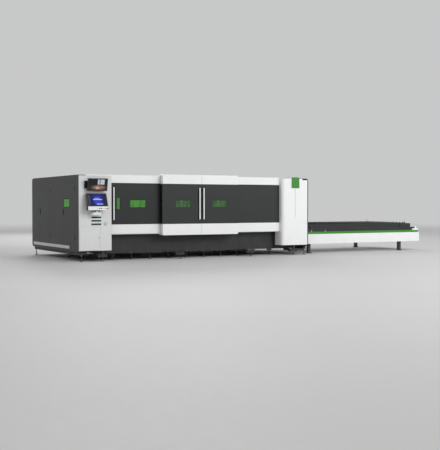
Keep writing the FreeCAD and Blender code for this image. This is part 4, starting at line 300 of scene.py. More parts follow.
# metals: colour, roughness, metallic, stretch and scale of the grain
metals = {
    "handleMetal": ((0.92, 0.925, 0.93), 0.34, 0.05, (1.0, 1.0, 0.02), 600.0),
    "railSteel": ((0.46, 0.47, 0.49), 0.27, 0.95, (0.02, 1.0, 1.0), 500.0),
    "wheelSteel": ((0.085, 0.083, 0.08), 0.42, 0.8, (1.0, 0.1, 1.0), 240.0),
    "zincPlate": ((0.55, 0.55, 0.52), 0.38, 0.85, (1.0, 1.0, 1.0), 60.0),
    "headMetal": ((0.6, 0.61, 0.63), 0.3, 0.85, (1.0, 1.0, 0.05), 400.0),
    "copper": ((0.7, 0.33, 0.17), 0.28, 0.95, (1.0, 1.0, 0.05), 700.0),
    "chainSteel": ((0.16, 0.155, 0.15), 0.42, 0.9, (0.3, 1.0, 1.0), 90.0),
    "knobMetal": ((0.8, 0.805, 0.81), 0.26, 0.35, (1.0, 0.1, 1.0), 300.0)}
metalLook = {"dust": 0.18, "darkest": 0.72, "rougher": 0.1, "smoother": 0.06}


def makeMetal(name):
    shader = newMaterial(name)
    colour, roughness, metallic, stretch, scale = metals[name]
    grain = placeGroup("brushedGrain", Stretch=stretch, Scale=scale)
    dust = placeGroup("settledDust", Strength=metalLook["dust"])["Mask"]
    darker = tuple(channel * metalLook["darkest"] for channel in colour)
    toned = mixColour(grain["Tone"], darker, colour)
    gloss = rangeNode(grain["Tone"], 0.2, 0.8, roughness + metalLook["rougher"],
        roughness - metalLook["smoother"])
    setInputs(shader, Base_Color=mixColour(dust, toned, dustColour), Roughness=gloss,
        Metallic=metallic)
    addBump(shader, grain["Height"])


# slats with spattered tips: the heights of the tip's root and top
slatTips = {"outerSlatSteel": (0.835, 0.905), "innerSlatSteel": (0.55, 0.62)}
slatColours = {
    "scale": ((0.03, 0.029, 0.028), (0.075, 0.07, 0.066)),
    "tip": (0.23, 0.225, 0.22),
    "spatter": (0.34, 0.33, 0.31)}


def makeSlatSteel(name):
    shader = newMaterial(name)
    where = objectPlace()
    scale = noiseNode(where, 9.0, 6.0, 0.7)
    spatter = rangeNode(noiseNode(where, 70.0, 2.0, 0.5), 0.66, 0.72)
    tip = rangeNode(split(where)["Z"], *slatTips[name], 0.0, 1.0, True)
    base = mixColour(scale, *slatColours["scale"])
    burnt = mixColour(times(tip, 0.85), base, slatColours["tip"])
    dotted = mixColour(times(spatter, tip), burnt, slatColours["spatter"])
    setInputs(shader, Base_Color=dotted, Metallic=0.75,
        Roughness=rangeNode(scale, 0.25, 0.75, 0.62, 0.4))
    height = (spatter, 0.0004, times(scale, 0.0006))
    addBump(shader, mathNode("MULTIPLY_ADD", *height))


# panes: tint, colour in the streaks, how clear, how shiny
panes = {
    "sidePane": ((0.085, 0.45, 0.055), (0.06, 0.36, 0.036), 0.02, 0.08),
    "brightPane": ((0.085, 0.4, 0.045), (0.04, 0.22, 0.022), 0.3, 0.5),
    "mutedPane": ((0.075, 0.24, 0.055), (0.022, 0.075, 0.02), 0.35, 0.5)}
streakPull = (2.2, 2.2, 0.5)


def makePane(name):
    shader = newMaterial(name)
    tint, deep, clear, shine = panes[name]
    where = objectPlace()
    upright = vectorNode("MULTIPLY", where, streakPull)
    haze = rangeNode(noiseNode(upright, 4.5, 3.0), 0.34, 0.66)
    wipes = noiseNode(where, 38.0, 4.0, 0.6)
    setInputs(shader, Base_Color=mixColour(haze, deep, tint),
        Roughness=rangeNode(wipes, 0.3, 0.8, 0.05, 0.16), IOR=1.49, Transmission_Weight=clear,
        Specular_IOR_Level=shine, Coat_Weight=shine, Coat_Roughness=0.04)
    addBump(shader, times(haze, 0.0003))


# u runs right and v up over a screen, both 0 to 1
def glowSpot(u, v, centre, size, reach):
    parts = [times(mathNode("SUBTRACT", value, middle), 1.0 / wide)
        for value, middle, wide in zip((u, v), centre, size)]
    far = mathNode("ADD", *(times(part, part) for part in parts))
    return rangeNode(far, 0.0, reach, 1.0, 0.0, True)


def blockMask(u, v, low, high, soft):
    sides = (placeGroup("zoneMask", Value=value, Start=start, End=end, Softness=soft)
        for value, start, end in zip((u, v), low, high))
    return times(*(side["Mask"] for side in sides))


# ground from top to bottom, then layers: shape, two points, softness, strength, colour
strokeColour = (0.6, 0.74, 1.0)
pictures = {
    # view of the cut: a dark room, a pale block, warm sparks
    "workPicture": {"ground": ((0.012, 0.013, 0.015), (0.026, 0.024, 0.024)), "layers": (
        (blockMask, (0.5, 0.52), (0.86, 0.96), 0.015, 1.0, (0.48, 0.55, 0.58)),
        (blockMask, (0.6, 0.52), (0.64, 0.96), 0.01, 1.0, (0.012, 0.013, 0.015)),
        (glowSpot, (0.56, 0.26), (0.46, 0.26), 1.0, 0.75, (0.36, 0.2, 0.13)),
        (glowSpot, (0.5, 0.22), (0.13, 0.14), 1.0, 1.0, (0.66, 0.38, 0.22)))},
    # control page: a blue field with pale strokes
    "pagePicture": {"ground": ((0.012, 0.013, 0.02), (0.012, 0.013, 0.02)), "layers": (
        (glowSpot, (0.52, 0.52), (0.5, 0.95), 1.0, 1.0, (0.014, 0.016, 0.16)),
        (glowSpot, (0.52, 0.45), (0.3, 0.5), 1.0, 1.0, (0.045, 0.05, 0.5)),
        (blockMask, (0.28, 0.5), (0.76, 0.56), 0.012, 0.8, strokeColour),
        (blockMask, (0.36, 0.6), (0.62, 0.635), 0.012, 0.8, strokeColour),
        (blockMask, (0.44, 0.12), (0.78, 0.18), 0.012, 0.8, strokeColour),
        (blockMask, (0.06, 0.1), (0.1, 0.9), 0.012, 0.15, strokeColour))}
}


def makePicture(name):
    shader = newMaterial(name)
    axes = split(addNode("UVMap").outputs[0])
    u, v = axes["X"], axes["Y"]
    seen = mixColour(rangeNode(v, 0.55, 0.15), *pictures[name]["ground"])
    for shape, first, second, soft, strength, colour in pictures[name]["layers"]:
        mask = times(shape(u, v, first, second, soft), strength)
        seen = mixColour(mask, seen, colour)
    smears = noiseNode(objectPlace(), 22.0, 4.0)
    setInputs(shader, Base_Color=mixColour(0.85, seen, (0.0, 0.0, 0.0)), Emission_Color=seen,
        Emission_Strength=0.85, Roughness=rangeNode(smears, 0.3, 0.8, 0.1, 0.24),
        Specular_IOR_Level=0.2, Coat_Weight=0.08)


# where the floor fades into the backdrop, and the backdrop's own light
floorFade = {"start": 16.0, "end": 46.0, "colour": (0.9, 0.905, 0.91), "strength": 0.64}
floorColours = {"clouds": ((0.6, 0.6, 0.595), (0.65, 0.65, 0.645)), "marks": (0.52, 0.52, 0.51)}


def seenRays():
    # 1 where the camera sees the surface, in a mirror or through glass too
    rays = addNode("LightPath").outputs
    straight = mathNode("MAXIMUM", rays["Is Camera Ray"], rays["Is Transmission Ray"])
    return mathNode("MAXIMUM", straight, rays["Is Glossy Ray"])


def mixInto(factor, shade, kind, end):
    # the backdrop's own light over a shader
    glow = addNode(kind, floorFade["colour"], floorFade["strength"]).outputs[0]
    mixed = addNode("MixShader", factor, shade.outputs[0], glow)
    setInputs(now["tree"].nodes[end], Surface=mixed.outputs[0])


def makeFloorFinish():
    # pale poured floor with faint clouds and trowel marks
    shader = newMaterial("floorFinish")
    where = objectPlace()
    marks = noiseNode(where, 7.0, 6.0, 0.7)
    base = mixColour(noiseNode(where, 0.35, 5.0, 0.55), *floorColours["clouds"])
    setInputs(shader, Specular_IOR_Level=0.12,
        Base_Color=mixColour(times(marks, 0.08), base, floorColours["marks"]),
        Roughness=rangeNode(marks, 0.3, 0.7, 0.5, 0.64))
    addBump(shader, times(marks, 0.0006))
    reach = vectorNode("LENGTH", where)
    far = rangeNode(reach, floorFade["start"], floorFade["end"], 0.0, 1.0, True)
    mixInto(times(far, seenRays()), shader, "Emission", "Material Output")


for makeLook, names in ((makePaint, [*paints, *zonedPaints]), (makeMetal, metals),
        (makePane, panes), (makePicture, pictures), (makeSlatSteel, slatTips)):
    for name in names:
        makeLook(name)
makeFloorFinish()
for tree in [*groups.values(), *(material.node_tree for material in materials.values())]:
    arrange(tree)
print("materials ready:", len(materials))

# which finish each solid of the machine takes
finishes = {
    "wallPaint": "left_end_wall right_end_wall rear_wall roof_panels wall_door_front "
                 "wall_door_rear rear_door_left rear_door_right",
    "panelPaint": "fixed_front_panel",
    "leafPaint": "middle_left_leaf middle_right_leaf",
    "sideLeafPaint": "left_door",
    "whitePaint": "upper_beam lower_beam table_side_panels",
    "grooved": "right_column",
    "columnPaint": "cabinet_door laser_source",
    "fasciaPaint": "control_column",
    "stripPaint": "left_kick_strip",
    "greenPaint": "table_strips",
    "capPaint": "column_cap",
    "ventGreen": "vent_louvres",
    "skirtZoned": "front_skirt",
    "framePaint": "bed_frame table_frame inner_pallet_frame",
    "palletPaint": "outer_pallet_frame",
    "footPaint": "base_frame levelling_feet",
    "gantryPaint": "gantry_beam head_carriage z_slide",
    "housingPaint": "upper_monitor console",
    "bracketPaint": "screen_brackets",
    "blackPlastic": "gantry_drives",
    "redPlastic": "emergency_stop",
    "keyPlastic": "start_button pause_button",
    "sidePane": "wall_door_window",
    "brightPane": "left_door_windows",
    "mutedPane": "middle_left_window middle_right_window",
    "handleMetal": "left_door_handle middle_left_handle middle_right_handle",
    "railSteel": "gantry_rails exchange_shaft",
    "wheelSteel": "outer_left_wheels outer_right_wheels inner_left_wheels inner_right_wheels",
    "zincPlate": "control_plate cabinet_lock",
    "chainSteel": "exchange_chains",
    "headMetal": "cutting_head",
    "knobMetal": "main_switch",
    "outerSlatSteel": "outer_pallet_slats",
    "innerSlatSteel": "inner_pallet_slats",
}
left = set(nodes)
for finish, members in finishes.items():
    for member in members.split():
        left.discard(member)
        if not nodes[member].data.materials:
            nodes[member].data.materials.append(materials[finish])
        for slot in nodes[member].material_slots:
            slot.material = materials[finish]
print("solids painted, left over:", sorted(left))

sharpAngle = math.radians(38.0)
facesFront, facesRear, facesUp = (0, -1, 0), (0, 1, 0), (0, 0, 1)


# meshes that wait to become pieces
waiting = []


def finishPiece(name, shape, finish, body, slotName):
    # a bmesh or a mesh becomes a piece that rides on a body
    mesh = shape
    if isinstance(shape, bmesh.types.BMesh):
        mesh = bpy.data.meshes.new(name)
        bmesh.ops.recalc_face_normals(shape, faces=shape.faces)
        shape.to_mesh(mesh)
        shape.free()
    mesh.name = name
    mesh.materials.clear()
    mesh.materials.append(materials[finish])
    for polygon in mesh.polygons:
        polygon.use_smooth = True
    mesh.set_sharp_from_angle(angle=sharpAngle)
    piece = bpy.data.objects.new(name, mesh)
    bpy.context.scene.collection.objects.link(piece)
    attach(piece, body)


def newPiece(name, finish, body="machine", slotName=None, shape=None):
    # an empty bmesh to fill, or a shape that is ready; makeAll finishes it
    shape = shape or bmesh.new()
    waiting.append((name, shape, finish, body, slotName))
    return shape


def makeAll(*makers):
    for maker in makers:
        maker()
    for row in waiting:
        finishPiece(*row)
    waiting.clear()


def addBox(bm, low, high, bevel=0.001, segments=1):
    # a box with softened edges between two corners
    middle = [(a + b) / 2 for a, b in zip(low, high)]
    size = [b - a for a, b in zip(low, high)]
    matrix = Matrix.Translation(middle) @ Matrix.Diagonal(size + [1.0])
    made = bmesh.ops.create_cube(bm, size=1.0, matrix=matrix)
    edges = list({edge for vertex in made["verts"] for edge in vertex.link_edges})
    if bevel:
        bmesh.ops.bevel(bm, geom=edges, offset=min(bevel, min(size) * 0.45), segments=segments,
            offset_type="OFFSET", profile=0.5, affect="EDGES", clamp_overlap=True)


def circleLoop(centre, radius, steps=24, start=0.0):
    # start is the share of a turn before the first point
    turns = (2 * math.pi * (n / steps + start) for n in range(steps))
    return [(centre[0] + radius * math.cos(turn), centre[1] + radius * math.sin(turn))
        for turn in turns]


def roundedLoop(low, high, corner, steps=4):
    # a rectangle with round corners, anticlockwise
    inner = [(a + corner, b - corner) for a, b in zip(low, high)]
    points = []
    for number, (u, v) in enumerate(((1, 1), (0, 1), (0, 0), (1, 0))):
        arc = circleLoop((inner[0][u], inner[1][v]), corner, steps * 4, number / 4)
        points += arc[:steps + 1]
    return points


def insetLoop(size, inset, corner, steps=4):
    return roundedLoop((inset, inset), (size[0] - inset, size[1] - inset), corner, steps)


def bridge(bm, rings):
    # faces from each ring of vertices to the next
    for first, second in zip(rings, rings[1:]):
        for step in range(len(first)):
            after = (step + 1) % len(first)
            corners = (first[step], first[after], second[after], second[step])
            corners = list(dict.fromkeys(corners))
            if len(corners) > 2:
                bm.faces.new(corners)


def addPrism(bm, *outlines):
    # a solid between two outlines of as many points
    ends = [[bm.verts.new(point) for point in outline] for outline in outlines]
    for end in ends:
        bm.faces.new(end)
    bridge(bm, ends)


def addLathe(bm, centre, axis, profile, steps=20, hexRings=()):
    # profile holds (radius, along axis); the rings in hexRings become hexagons
    turn = Vector(axis).to_track_quat("Z", "Y").to_matrix().to_4x4()
    frameOf = Matrix.Translation(Vector(centre)) @ turn
    rings = []
    for row, (radius, along) in enumerate(profile):
        if radius < 1e-7:
            rings.append([bm.verts.new(frameOf @ Vector((0, 0, along)))] * steps)
            continue
        pulls = (1.0, math.cos(math.pi / 6) if row in hexRings else 1.0)
        loop = enumerate(circleLoop((0, 0), radius, steps))
        rings.append([bm.verts.new(frameOf @ Vector((u * pulls[n % 2], v * pulls[n % 2], along)))
            for n, (u, v) in loop])
    bridge(bm, rings)


def addRing(bm, centre, axis, reach, lift, wire, wireSteps, steps):
    # a ring of round wire, raised by lift
    loop = circleLoop((reach, lift), wire, wireSteps)
    addLathe(bm, centre, axis, loop + loop[:1], steps)


def addBolt(bm, centre, axis, radius, height):
    # chamfered head with a hexagon recess
    profile = [(0, height * 0.35), (radius * 0.5, height * 0.35), (radius * 0.5, height),
        (radius * 0.85, height), (radius, height * 0.8), (radius, 0)]
    addLathe(bm, centre, axis, profile, 12, (1, 2))


def addNut(bm, centre, axis, radius, height):
    # hexagon nut on a thin washer
    profile = [(radius * 1.35, 0), (radius * 1.35, 0.002), (radius, 0.002), (radius, height),
        (radius * 0.8, height + 0.001), (0, height + 0.001)]
    addLathe(bm, centre, axis, profile, 12, (2, 3))


def plateOn(corner, up, loops, thickness, bevel=0.0006, along=(1, 0, 0), picture=None):
    # a flat plate from its outline and holes; picture is the size that a picture fills
    curve = bpy.data.curves.new("plate", "CURVE")
    curve.dimensions = "2D"
    curve.fill_mode = "BOTH"
    curve.extrude = thickness / 2 - bevel
    curve.bevel_depth = bevel
    curve.bevel_resolution = 1
    curve.offset = -bevel
    for loop in loops:
        spline = curve.splines.new("POLY")
        spline.points.add(len(loop) - 1)
        for point, (u, v) in zip(spline.points, loop):
            point.co = (u, v, 0, 1)
        spline.use_cyclic_u = True
    holder = bpy.data.objects.new("plate", curve)
    mesh = bpy.data.meshes.new_from_object(holder)
    bpy.data.objects.remove(holder)
    bpy.data.curves.remove(curve)
    if picture:
        while mesh.uv_layers:
            mesh.uv_layers.remove(mesh.uv_layers[0])
        layer = mesh.uv_layers.new(name="UVMap")
        for loop in mesh.loops:
            point = mesh.vertices[loop.vertex_index].co
            layer.data[loop.index].uv = (point.x / picture[0], point.y / picture[1])
    along, up = Vector(along), Vector(up)
    frameOf = Matrix((along, up, along.cross(up))).transposed().to_4x4()
    lift = Matrix.Translation((0, 0, thickness / 2))
    mesh.transform(Matrix.Translation(Vector(corner)) @ frameOf @ lift)
    return mesh


def addRim(bm, origin, along, low, high, corner, profile):
    # a moulding round an opening; profile holds (out from the outline, proud of the face)
    along, up = Vector(along), Vector(facesUp)
    outward = along.cross(up)
    base, rings = Vector(origin), []
    for out, proud in profile:
        loop = roundedLoop((low[0] - out, low[1] - out), (high[0] + out, high[1] + out),
            max(corner + out, 0.0008), 3)
        rings.append([bm.verts.new(base + along * u + up * v + outward * proud) for u, v in loop])
    bridge(bm, rings + rings[:1])


def smoothPath(points, steps=6):
    # a soft line through the points
    padded = [Vector(point) for point in (points[0], *points, points[-1])]
    path = []
    for a, b, c, d in zip(padded, padded[1:], padded[2:], padded[3:]):
        for step in range(steps):
            t = step / steps
            path.append(0.5 * (2 * b + (c - a) * t + (2 * a - 5 * b + 4 * c - d) * t * t
                + (3 * b - a - 3 * c + d) * t ** 3))
    return path + padded[-1:]


def addWire(bm, points, radius, sides):
    # a bent rod with closed ends
    path = smoothPath(points)
    side, rings = None, []
    for place, point in enumerate(path):
        ahead = path[min(place + 1, len(path) - 1)] - path[max(place - 1, 0)]
        ahead.normalize()
        side = ahead.orthogonal() if side is None else side - ahead * side.dot(ahead)
        side.normalize()
        other = ahead.cross(side)
        loop = circleLoop((0, 0), radius, sides)
        rings.append([bm.verts.new(point + side * u + other * v) for u, v in loop])
    bridge(bm, rings)
    bm.faces.new(rings[0][::-1])
    bm.faces.new(rings[-1])


def spread(start, end, count):
    return [start + (end - start) * n / max(count - 1, 1) for n in range(count)]


def boltGrid(bm, xs, ys, zs, axis, screw):
    for place in product(xs, ys, zs):
        addBolt(bm, place, axis, *screw)


def solidBoxes(name):
    # the low and high corners of each separate solid of a node
    bm = bmesh.new()
    bm.from_mesh(nodes[name].data)
    bm.transform(nodes[name].matrix_world)
    bmesh.ops.remove_doubles(bm, verts=bm.verts, dist=1e-6)
    seen, boxes = set(), []
    for vertex in bm.verts:
        island, front = [], [vertex]
        while front:
            here = front.pop()
            if here not in seen:
                seen.add(here)
                island.append(here.co.copy())
                front += [edge.other_vert(here) for edge in here.link_edges]
        if island:
            boxes.append([Vector(map(limit, *island)) for limit in (min, max)])
    bm.free()
    return sorted(boxes, key=lambda box: tuple(round(v, 4) for v in box[0]))


# each screen: its picture's lower left corner, size, lean in degrees and finish
screens = {
    "upperScreen": {"body": "upper_monitor", "corner": (-5.67, -2.0079, 1.8349),
        "size": (0.506, 0.2925), "lean": -12.0, "picture": "workPicture"},
    "consoleScreen": {"body": "console", "corner": (-5.698, -2.1439, 1.4383),
        "size": (0.506, 0.3323), "lean": 22.8, "picture": "pagePicture"}}
screenParts = {
    "glassThickness": 0.0012, "glassBevel": 0.0003, "glassCorner": 0.004, "glassInset": 0.006,
    "rimInset": 0.0005, "rimWidth": 0.007, "rimCorners": (0.003, 0.004), "rimThickness": 0.0022,
    "rimBevel": 0.0005}


def makeScreens():
    parts = screenParts
    for name, row in screens.items():
        lean, size, corner = math.radians(row["lean"]), row["size"], row["corner"]
        up = (0.0, math.sin(lean), math.cos(lean))
        glass = plateOn(corner, up, [insetLoop(size, parts["glassInset"], parts["glassCorner"])],
            parts["glassThickness"], parts["glassBevel"], picture=size)
        newPiece(name, row["picture"], row["body"], shape=glass)
        insets = zip((parts["rimInset"], parts["rimWidth"]), parts["rimCorners"])
        loops = [insetLoop(size, inset, bend) for inset, bend in insets]
        rim = plateOn(corner, up, loops, parts["rimThickness"], parts["rimBevel"])
        newPiece(name + "Rim", "blackPlastic", row["body"], shape=rim)


# the strip under the console's screen, with holes clear of the three buttons
keyStrip = {
    "corner": (-5.7145, -2.1515, 1.327), "size": (0.539, 0.097), "round": 0.01, "thickness": 0.0022,
    "height": 1.372, "holes": ((-5.409, 0.0125), (-5.361, 0.0125), (-5.199, 0.0115)),
    "keyXs": (-5.315, -5.269, -5.242), "keySize": (0.0075, 0.006), "lampX": -5.455,
    "keyOut": 0.003, "keySink": 0.001, "keyBevel": 0.0015, "lap": 0.0005,
    "collar": ((0.0005, 0), (0.0005, 0.0015), (0.003, 0.0015), (0.0035, 0)),
    "lamp": ((0.006, 0), (0.006, 0.002), (0.0045, 0.0035), (0, 0.004))}


def makeKeyStrip():
    row = keyStrip
    corner, (half, rise), z = row["corner"], row["keySize"], row["height"]
    loops = [insetLoop(row["size"], 0, row["round"])]
    loops += [circleLoop((x - corner[0], z - corner[2]), radius) for x, radius in row["holes"]]
    strip = plateOn(corner, facesUp, loops, row["thickness"])
    newPiece("consoleKeyStrip", "whitePaint", "console", shape=strip)
    bm = newPiece("consoleKeys", "keyPlastic", "console")
    face = corner[1] - row["thickness"]
    front, back, seat = face - row["keyOut"], face + row["keySink"], face + row["lap"]
    for x in row["keyXs"]:
        addBox(bm, (x - half, front, z - rise), (x + half, back, z + rise), row["keyBevel"], 2)
    for x, radius in row["holes"]:
        collar = [(radius + out, along) for out, along in row["collar"]]
        addLathe(bm, (x, seat, z), facesFront, collar, 24)
    addLathe(bm, (row["lampX"], seat, z), facesFront, row["lamp"], 16)


makeAll(makeScreens, makeKeyStrip)
print("screens ready")

# each front window: body, face and outline
frontWindows = {
    "sideDoorNarrow": ("left_door", -1.7445, (-4.7817, 1.34), (-4.6817, 1.654)),
    "sideDoorWide": ("left_door", -1.7445, (-4.4067, 1.39), (-3.9417, 1.595)),
    "middleLeft": ("middle_left", -1.8985, (-3.141, 1.39), (-2.666, 1.595)),
    "middleRight": ("middle_right", -1.8985, (-2.001, 1.39), (-1.526, 1.595))}
moulding = {
    "corner": 0.012, "wallFace": -5.871,
    "profile": ((0.007, -0.0005), (0.006, 0.002), (0.001, 0.003), (-0.006, 0.0015),
        (-0.009, -0.0025), (0.0, -0.004))}


def makeMouldings():
    (_, y0, z0), (_, y1, z1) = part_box("wall_door_window")
    rows = [(name, body, (0, face, 0), (1, 0, 0), low, high)
        for name, (body, face, low, high) in frontWindows.items()]
    rows.append(("wallWindow", "wall_door_front", (moulding["wallFace"], 0, 0), (0, -1, 0),
        (-y1, z0), (-y0, z1)))
    for name, body, *place in rows:
        bm = newPiece(name + "Moulding", "rubber", body)
        addRim(bm, *place, moulding["corner"], moulding["profile"])


makeAll(makeMouldings)
print("doors ready")

# feet: a nut under each carrier, one on each pad, and a ring round the pad
footHardware = {
    "nut": (0.017, 0.013), "nutSink": 0.0003, "padNut": (0.015, 0.0104), "padTop": 0.0163,
    "ring": ((0.0375, 0.0004), (0.0415, 0.001), (0.0427, 0.003), (0.0415, 0.006), (0.0375, 0.0063))}


def makeFootHardware():
    nuts = newPiece("footNuts", "zincPlate")
    rings = newPiece("footRings", "rubber")
    row = footHardware
    for low, high in solidBoxes("levelling_feet"):
        x, y = (low.x + high.x) / 2, (low.y + high.y) / 2
        addNut(nuts, (x, y, high.z - row["nutSink"]), (0, 0, -1), *row["nut"])
        addNut(nuts, (x, y, row["padTop"]), facesUp, *row["padNut"])
        addLathe(rings, (x, y, 0.0), facesUp, row["ring"], 24)


skirtScrews = {"inset": 0.04, "drop": 0.06, "rise": 0.05, "screw": (0.0055, 0.0035)}


def makeSkirtScrews():
    bm = newPiece("skirtScrews", "blackPlastic")
    row = skirtScrews
    for low, high in solidBoxes("front_skirt"):
        boltGrid(bm, (low.x + row["inset"], high.x - row["inset"]), (low.y,),
            (low.z + row["rise"], high.z - row["drop"]), facesFront, row["screw"])


# exchange table: screws, anchors, buffers, the motor's fins and box
tableParts = {
    "coverPitch": 0.65, "screwHeights": (0.312, 0.556), "coverScrew": (0.006, 0.003),
    "sideInset": 0.12, "endInset": 0.14, "endScrews": 5, "endSink": 0.0035, "footTop": 0.02,
    "anchorInset": 0.018, "anchor": (0.01, 0.008), "bufferX": 5.739, "bufferYs": (-1.2, 0.707),
    "bufferZ": 0.396, "buffer": ((0, 0), (0.022, 0), (0.022, 0.018), (0.0154, 0.0285), (0, 0.03)),
    "motor": (5.679, -0.2465, 0.69), "motorRadius": 0.0485, "finSpan": 0.085, "fins": 9,
    "fin": ((0.0475, -0.003), (0.0545, -0.002), (0.0545, 0.002), (0.0475, 0.003)), "boxHalf": 0.045,
    "boxTall": 0.05, "boxSink": 0.004, "boxBevel": 0.004}


def makeTableParts():
    row = tableParts
    screws = newPiece("coverScrews", "zincPlate")
    anchors = newPiece("legAnchors", "zincPlate")
    buffers = newPiece("endBuffers", "rubber")
    motor = newPiece("motorFins", "blackPlastic", slotName="gantry_paint")
    low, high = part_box("table_side_panels")
    start, end = low[0] + row["sideInset"], high[0] - row["sideInset"]
    places = spread(start, end, int((end - start) / row["coverPitch"]) + 1)
    for y, axis in ((low[1], facesFront), (high[1], facesRear)):
        boltGrid(screws, places, (y,), row["screwHeights"], axis, row["coverScrew"])
    places = spread(low[1] + row["endInset"], high[1] - row["endInset"], row["endScrews"])
    boltGrid(screws, (high[0] - row["endSink"],), places, row["screwHeights"], (1, 0, 0),
        row["coverScrew"])
    inset = row["anchorInset"]
    for low, high in solidBoxes("table_frame"):
        if high.z <= row["footTop"]:
            boltGrid(anchors, (low.x + inset, high.x - inset), (low.y + inset, high.y - inset),
                (high.z,), facesUp, row["anchor"])
    for y in row["bufferYs"]:
        addLathe(buffers, (row["bufferX"], y, row["bufferZ"]), (-1, 0, 0), row["buffer"])
    x, y, z = row["motor"]
    for along in spread(-row["finSpan"], row["finSpan"], row["fins"]):
        addLathe(motor, (x, y + along, z), facesRear, row["fin"], 28)
    half, under = row["boxHalf"], z - row["motorRadius"]
    addBox(motor, (x - half, y - half, under - row["boxTall"]),
        (x + half, y + half, under + row["boxSink"]), row["boxBevel"], 2)


makeAll(makeFootHardware, makeSkirtScrews, makeTableParts)
print("feet, skirt and table hardware ready")

# rear wall: hoods, flange bolts, screws clear of the doors, glands
rearParts = {
    "face": 2.0835, "louvreStarts": (-4.959, -0.261), "louvreLength": 0.6, "louvreEnd": 0.008,
    "louvreRows": 8, "louvrePitch": 0.05, "louvreLow": 1.2,
    "hood": ((0.0002, 0.024), (0.004, 0.023), (0.014, 0.0036), (0.014, 0.0006), (0.0125, 0.0006),
        (0.0125, 0.0036), (0.0035, 0.02), (0.0002, 0.021)),
    "spigot": (-0.171, 2.0935, 0.62), "flangeRadius": 0.172, "flangeBolts": 12,
    "flangeBolt": (0.008, 0.006), "wallSpan": (-5.6, 0.98, 12), "wallScrew": (0.007, 0.004),
    "wallHeights": (0.3, 2.13), "doors": (-3.3, -1.43, 2.0),
    "glandPlate": ((-3.9, 0.4), (-3.5, 0.56)), "plateThickness": 0.003, "plateRound": 0.008,
    "glands": 6, "glandInset": 0.05, "glandSizes": (0.012, 0.016),
    "gland": ((1.25, 0), (1.25, 0.008), (1, 0.009), (1, 0.018), (1.1, 0.019), (1.05, 0.03),
        (0.6, 0.034), (0, 0.033))}


def makeRearParts():
    row = rearParts
    face = row["face"]
    hoods = newPiece("louvreHoods", "wallPaint")
    bolts = newPiece("rearBolts", "zincPlate")
    for start, place in product(row["louvreStarts"], range(row["louvreRows"])):
        low = row["louvreLow"] + place * row["louvrePitch"]
        xs = (start + row["louvreEnd"], start + row["louvreLength"] - row["louvreEnd"])
        addPrism(hoods, *([(x, face + out, low + rise) for out, rise in row["hood"]] for x in xs))
    x0, y0, z0 = row["spigot"]
    flange = (row["flangeRadius"], row["flangeBolts"], 0.5 / row["flangeBolts"])
    for x, z in circleLoop((x0, z0), *flange):
        addBolt(bolts, (x, y0, z), facesRear, *row["flangeBolt"])
    doorStart, doorEnd, doorTop = row["doors"]
    for x, z in product(spread(*row["wallSpan"]), row["wallHeights"]):
        if not (doorStart < x < doorEnd and z < doorTop):
            addBolt(bolts, (x, face, z), facesRear, *row["wallScrew"])
    (x1, z1), (x2, z2) = row["glandPlate"]
    plate = plateOn((x2, face, z1), facesUp, [insetLoop((x2 - x1, z2 - z1), 0, row["plateRound"])],
        row["plateThickness"], along=(-1, 0, 0))
    newPiece("glandPlate", "zincPlate", shape=plate)
    glands = newPiece("cableGlands", "blackPlastic")
    places = spread(x1 + row["glandInset"], x2 - row["glandInset"], row["glands"])
    for n, x in enumerate(places):
        profile = [(radius * row["glandSizes"][n % 2], along) for radius, along in row["gland"]]
        addLathe(glands, (x, face + row["plateThickness"], (z1 + z2) / 2), facesRear, profile, 12,
            (0, 1, 4, 5))


makeAll(makeRearParts)
print("rear hardware ready")

# the control column's face: vent frames, the switch's ring and marks, the lock's collar
columnTrim = {
    "face": -1.9065, "vents": (-5.536, -5.276), "ventMiddles": (0.964, 1.052, 1.14),
    "ventHalf": 0.015, "ventRound": 0.004, "switch": (-5.153, 0.978), "switchRing": (0.044, 0.056),
    "lock": (-5.323, 0.618), "lockRing": (0.0165, 0.0215), "markReach": 0.05, "proud": 0.0024,
    "frame": ((0.0002, -0.001), (0.0002, 0.0016), (0.0012, 0.0024), (0.005, 0.0024),
        (0.0062, 0.0014), (0.0062, -0.001)),
    # from the inner (0) or outer (1) radius, how far out and how proud
    "ring": ((0, 0, -0.001), (0, 0, 0.0015), (0, 0.001, 0.0024), (1, -0.0015, 0.0024),
        (1, 0, 0.0012), (1, 0, -0.001)),
    "mark": ((0.0022, -0.0004), (0.0022, 0.0005), (0.0014, 0.001), (0, 0.001))}


def makeColumnTrim():
    row = columnTrim
    face, (start, end), half, proud = row["face"], row["vents"], row["ventHalf"], row["proud"]
    frames = newPiece("ventFrames", "ventRim")
    rings = newPiece("switchRing", "knobMetal")
    collar = newPiece("lockCollar", "knobMetal", "cabinet_door")
    for middle in row["ventMiddles"]:
        addRim(frames, (0, face, 0), (1, 0, 0), (start, middle - half), (end, middle + half),
            row["ventRound"], row["frame"])
    for bm, (x, z), radii in ((rings, row["switch"], row["switchRing"]),
            (collar, row["lock"], row["lockRing"])):
        profile = [(radii[edge] + out, along) for edge, out, along in row["ring"]]
        addLathe(bm, (x, face, z), facesFront, profile, 40)
    for x, z in circleLoop(row["switch"], row["markReach"], 4)[:2]:
        addLathe(rings, (x, face - proud, z), facesFront, row["mark"], 10)


# the green cover on the right column's cap
capCover = {
    "corner": (0.632, -1.9206, 1.956), "size": (0.264, 0.31), "round": 0.03, "thickness": 0.012,
    "bevel": 0.005}


def makeCapCover():
    row = capCover
    cover = plateOn(row["corner"], facesUp, [insetLoop(row["size"], 0, row["round"], 6)],
        row["thickness"], row["bevel"])
    newPiece("capCover", "greenPaint", shape=cover)


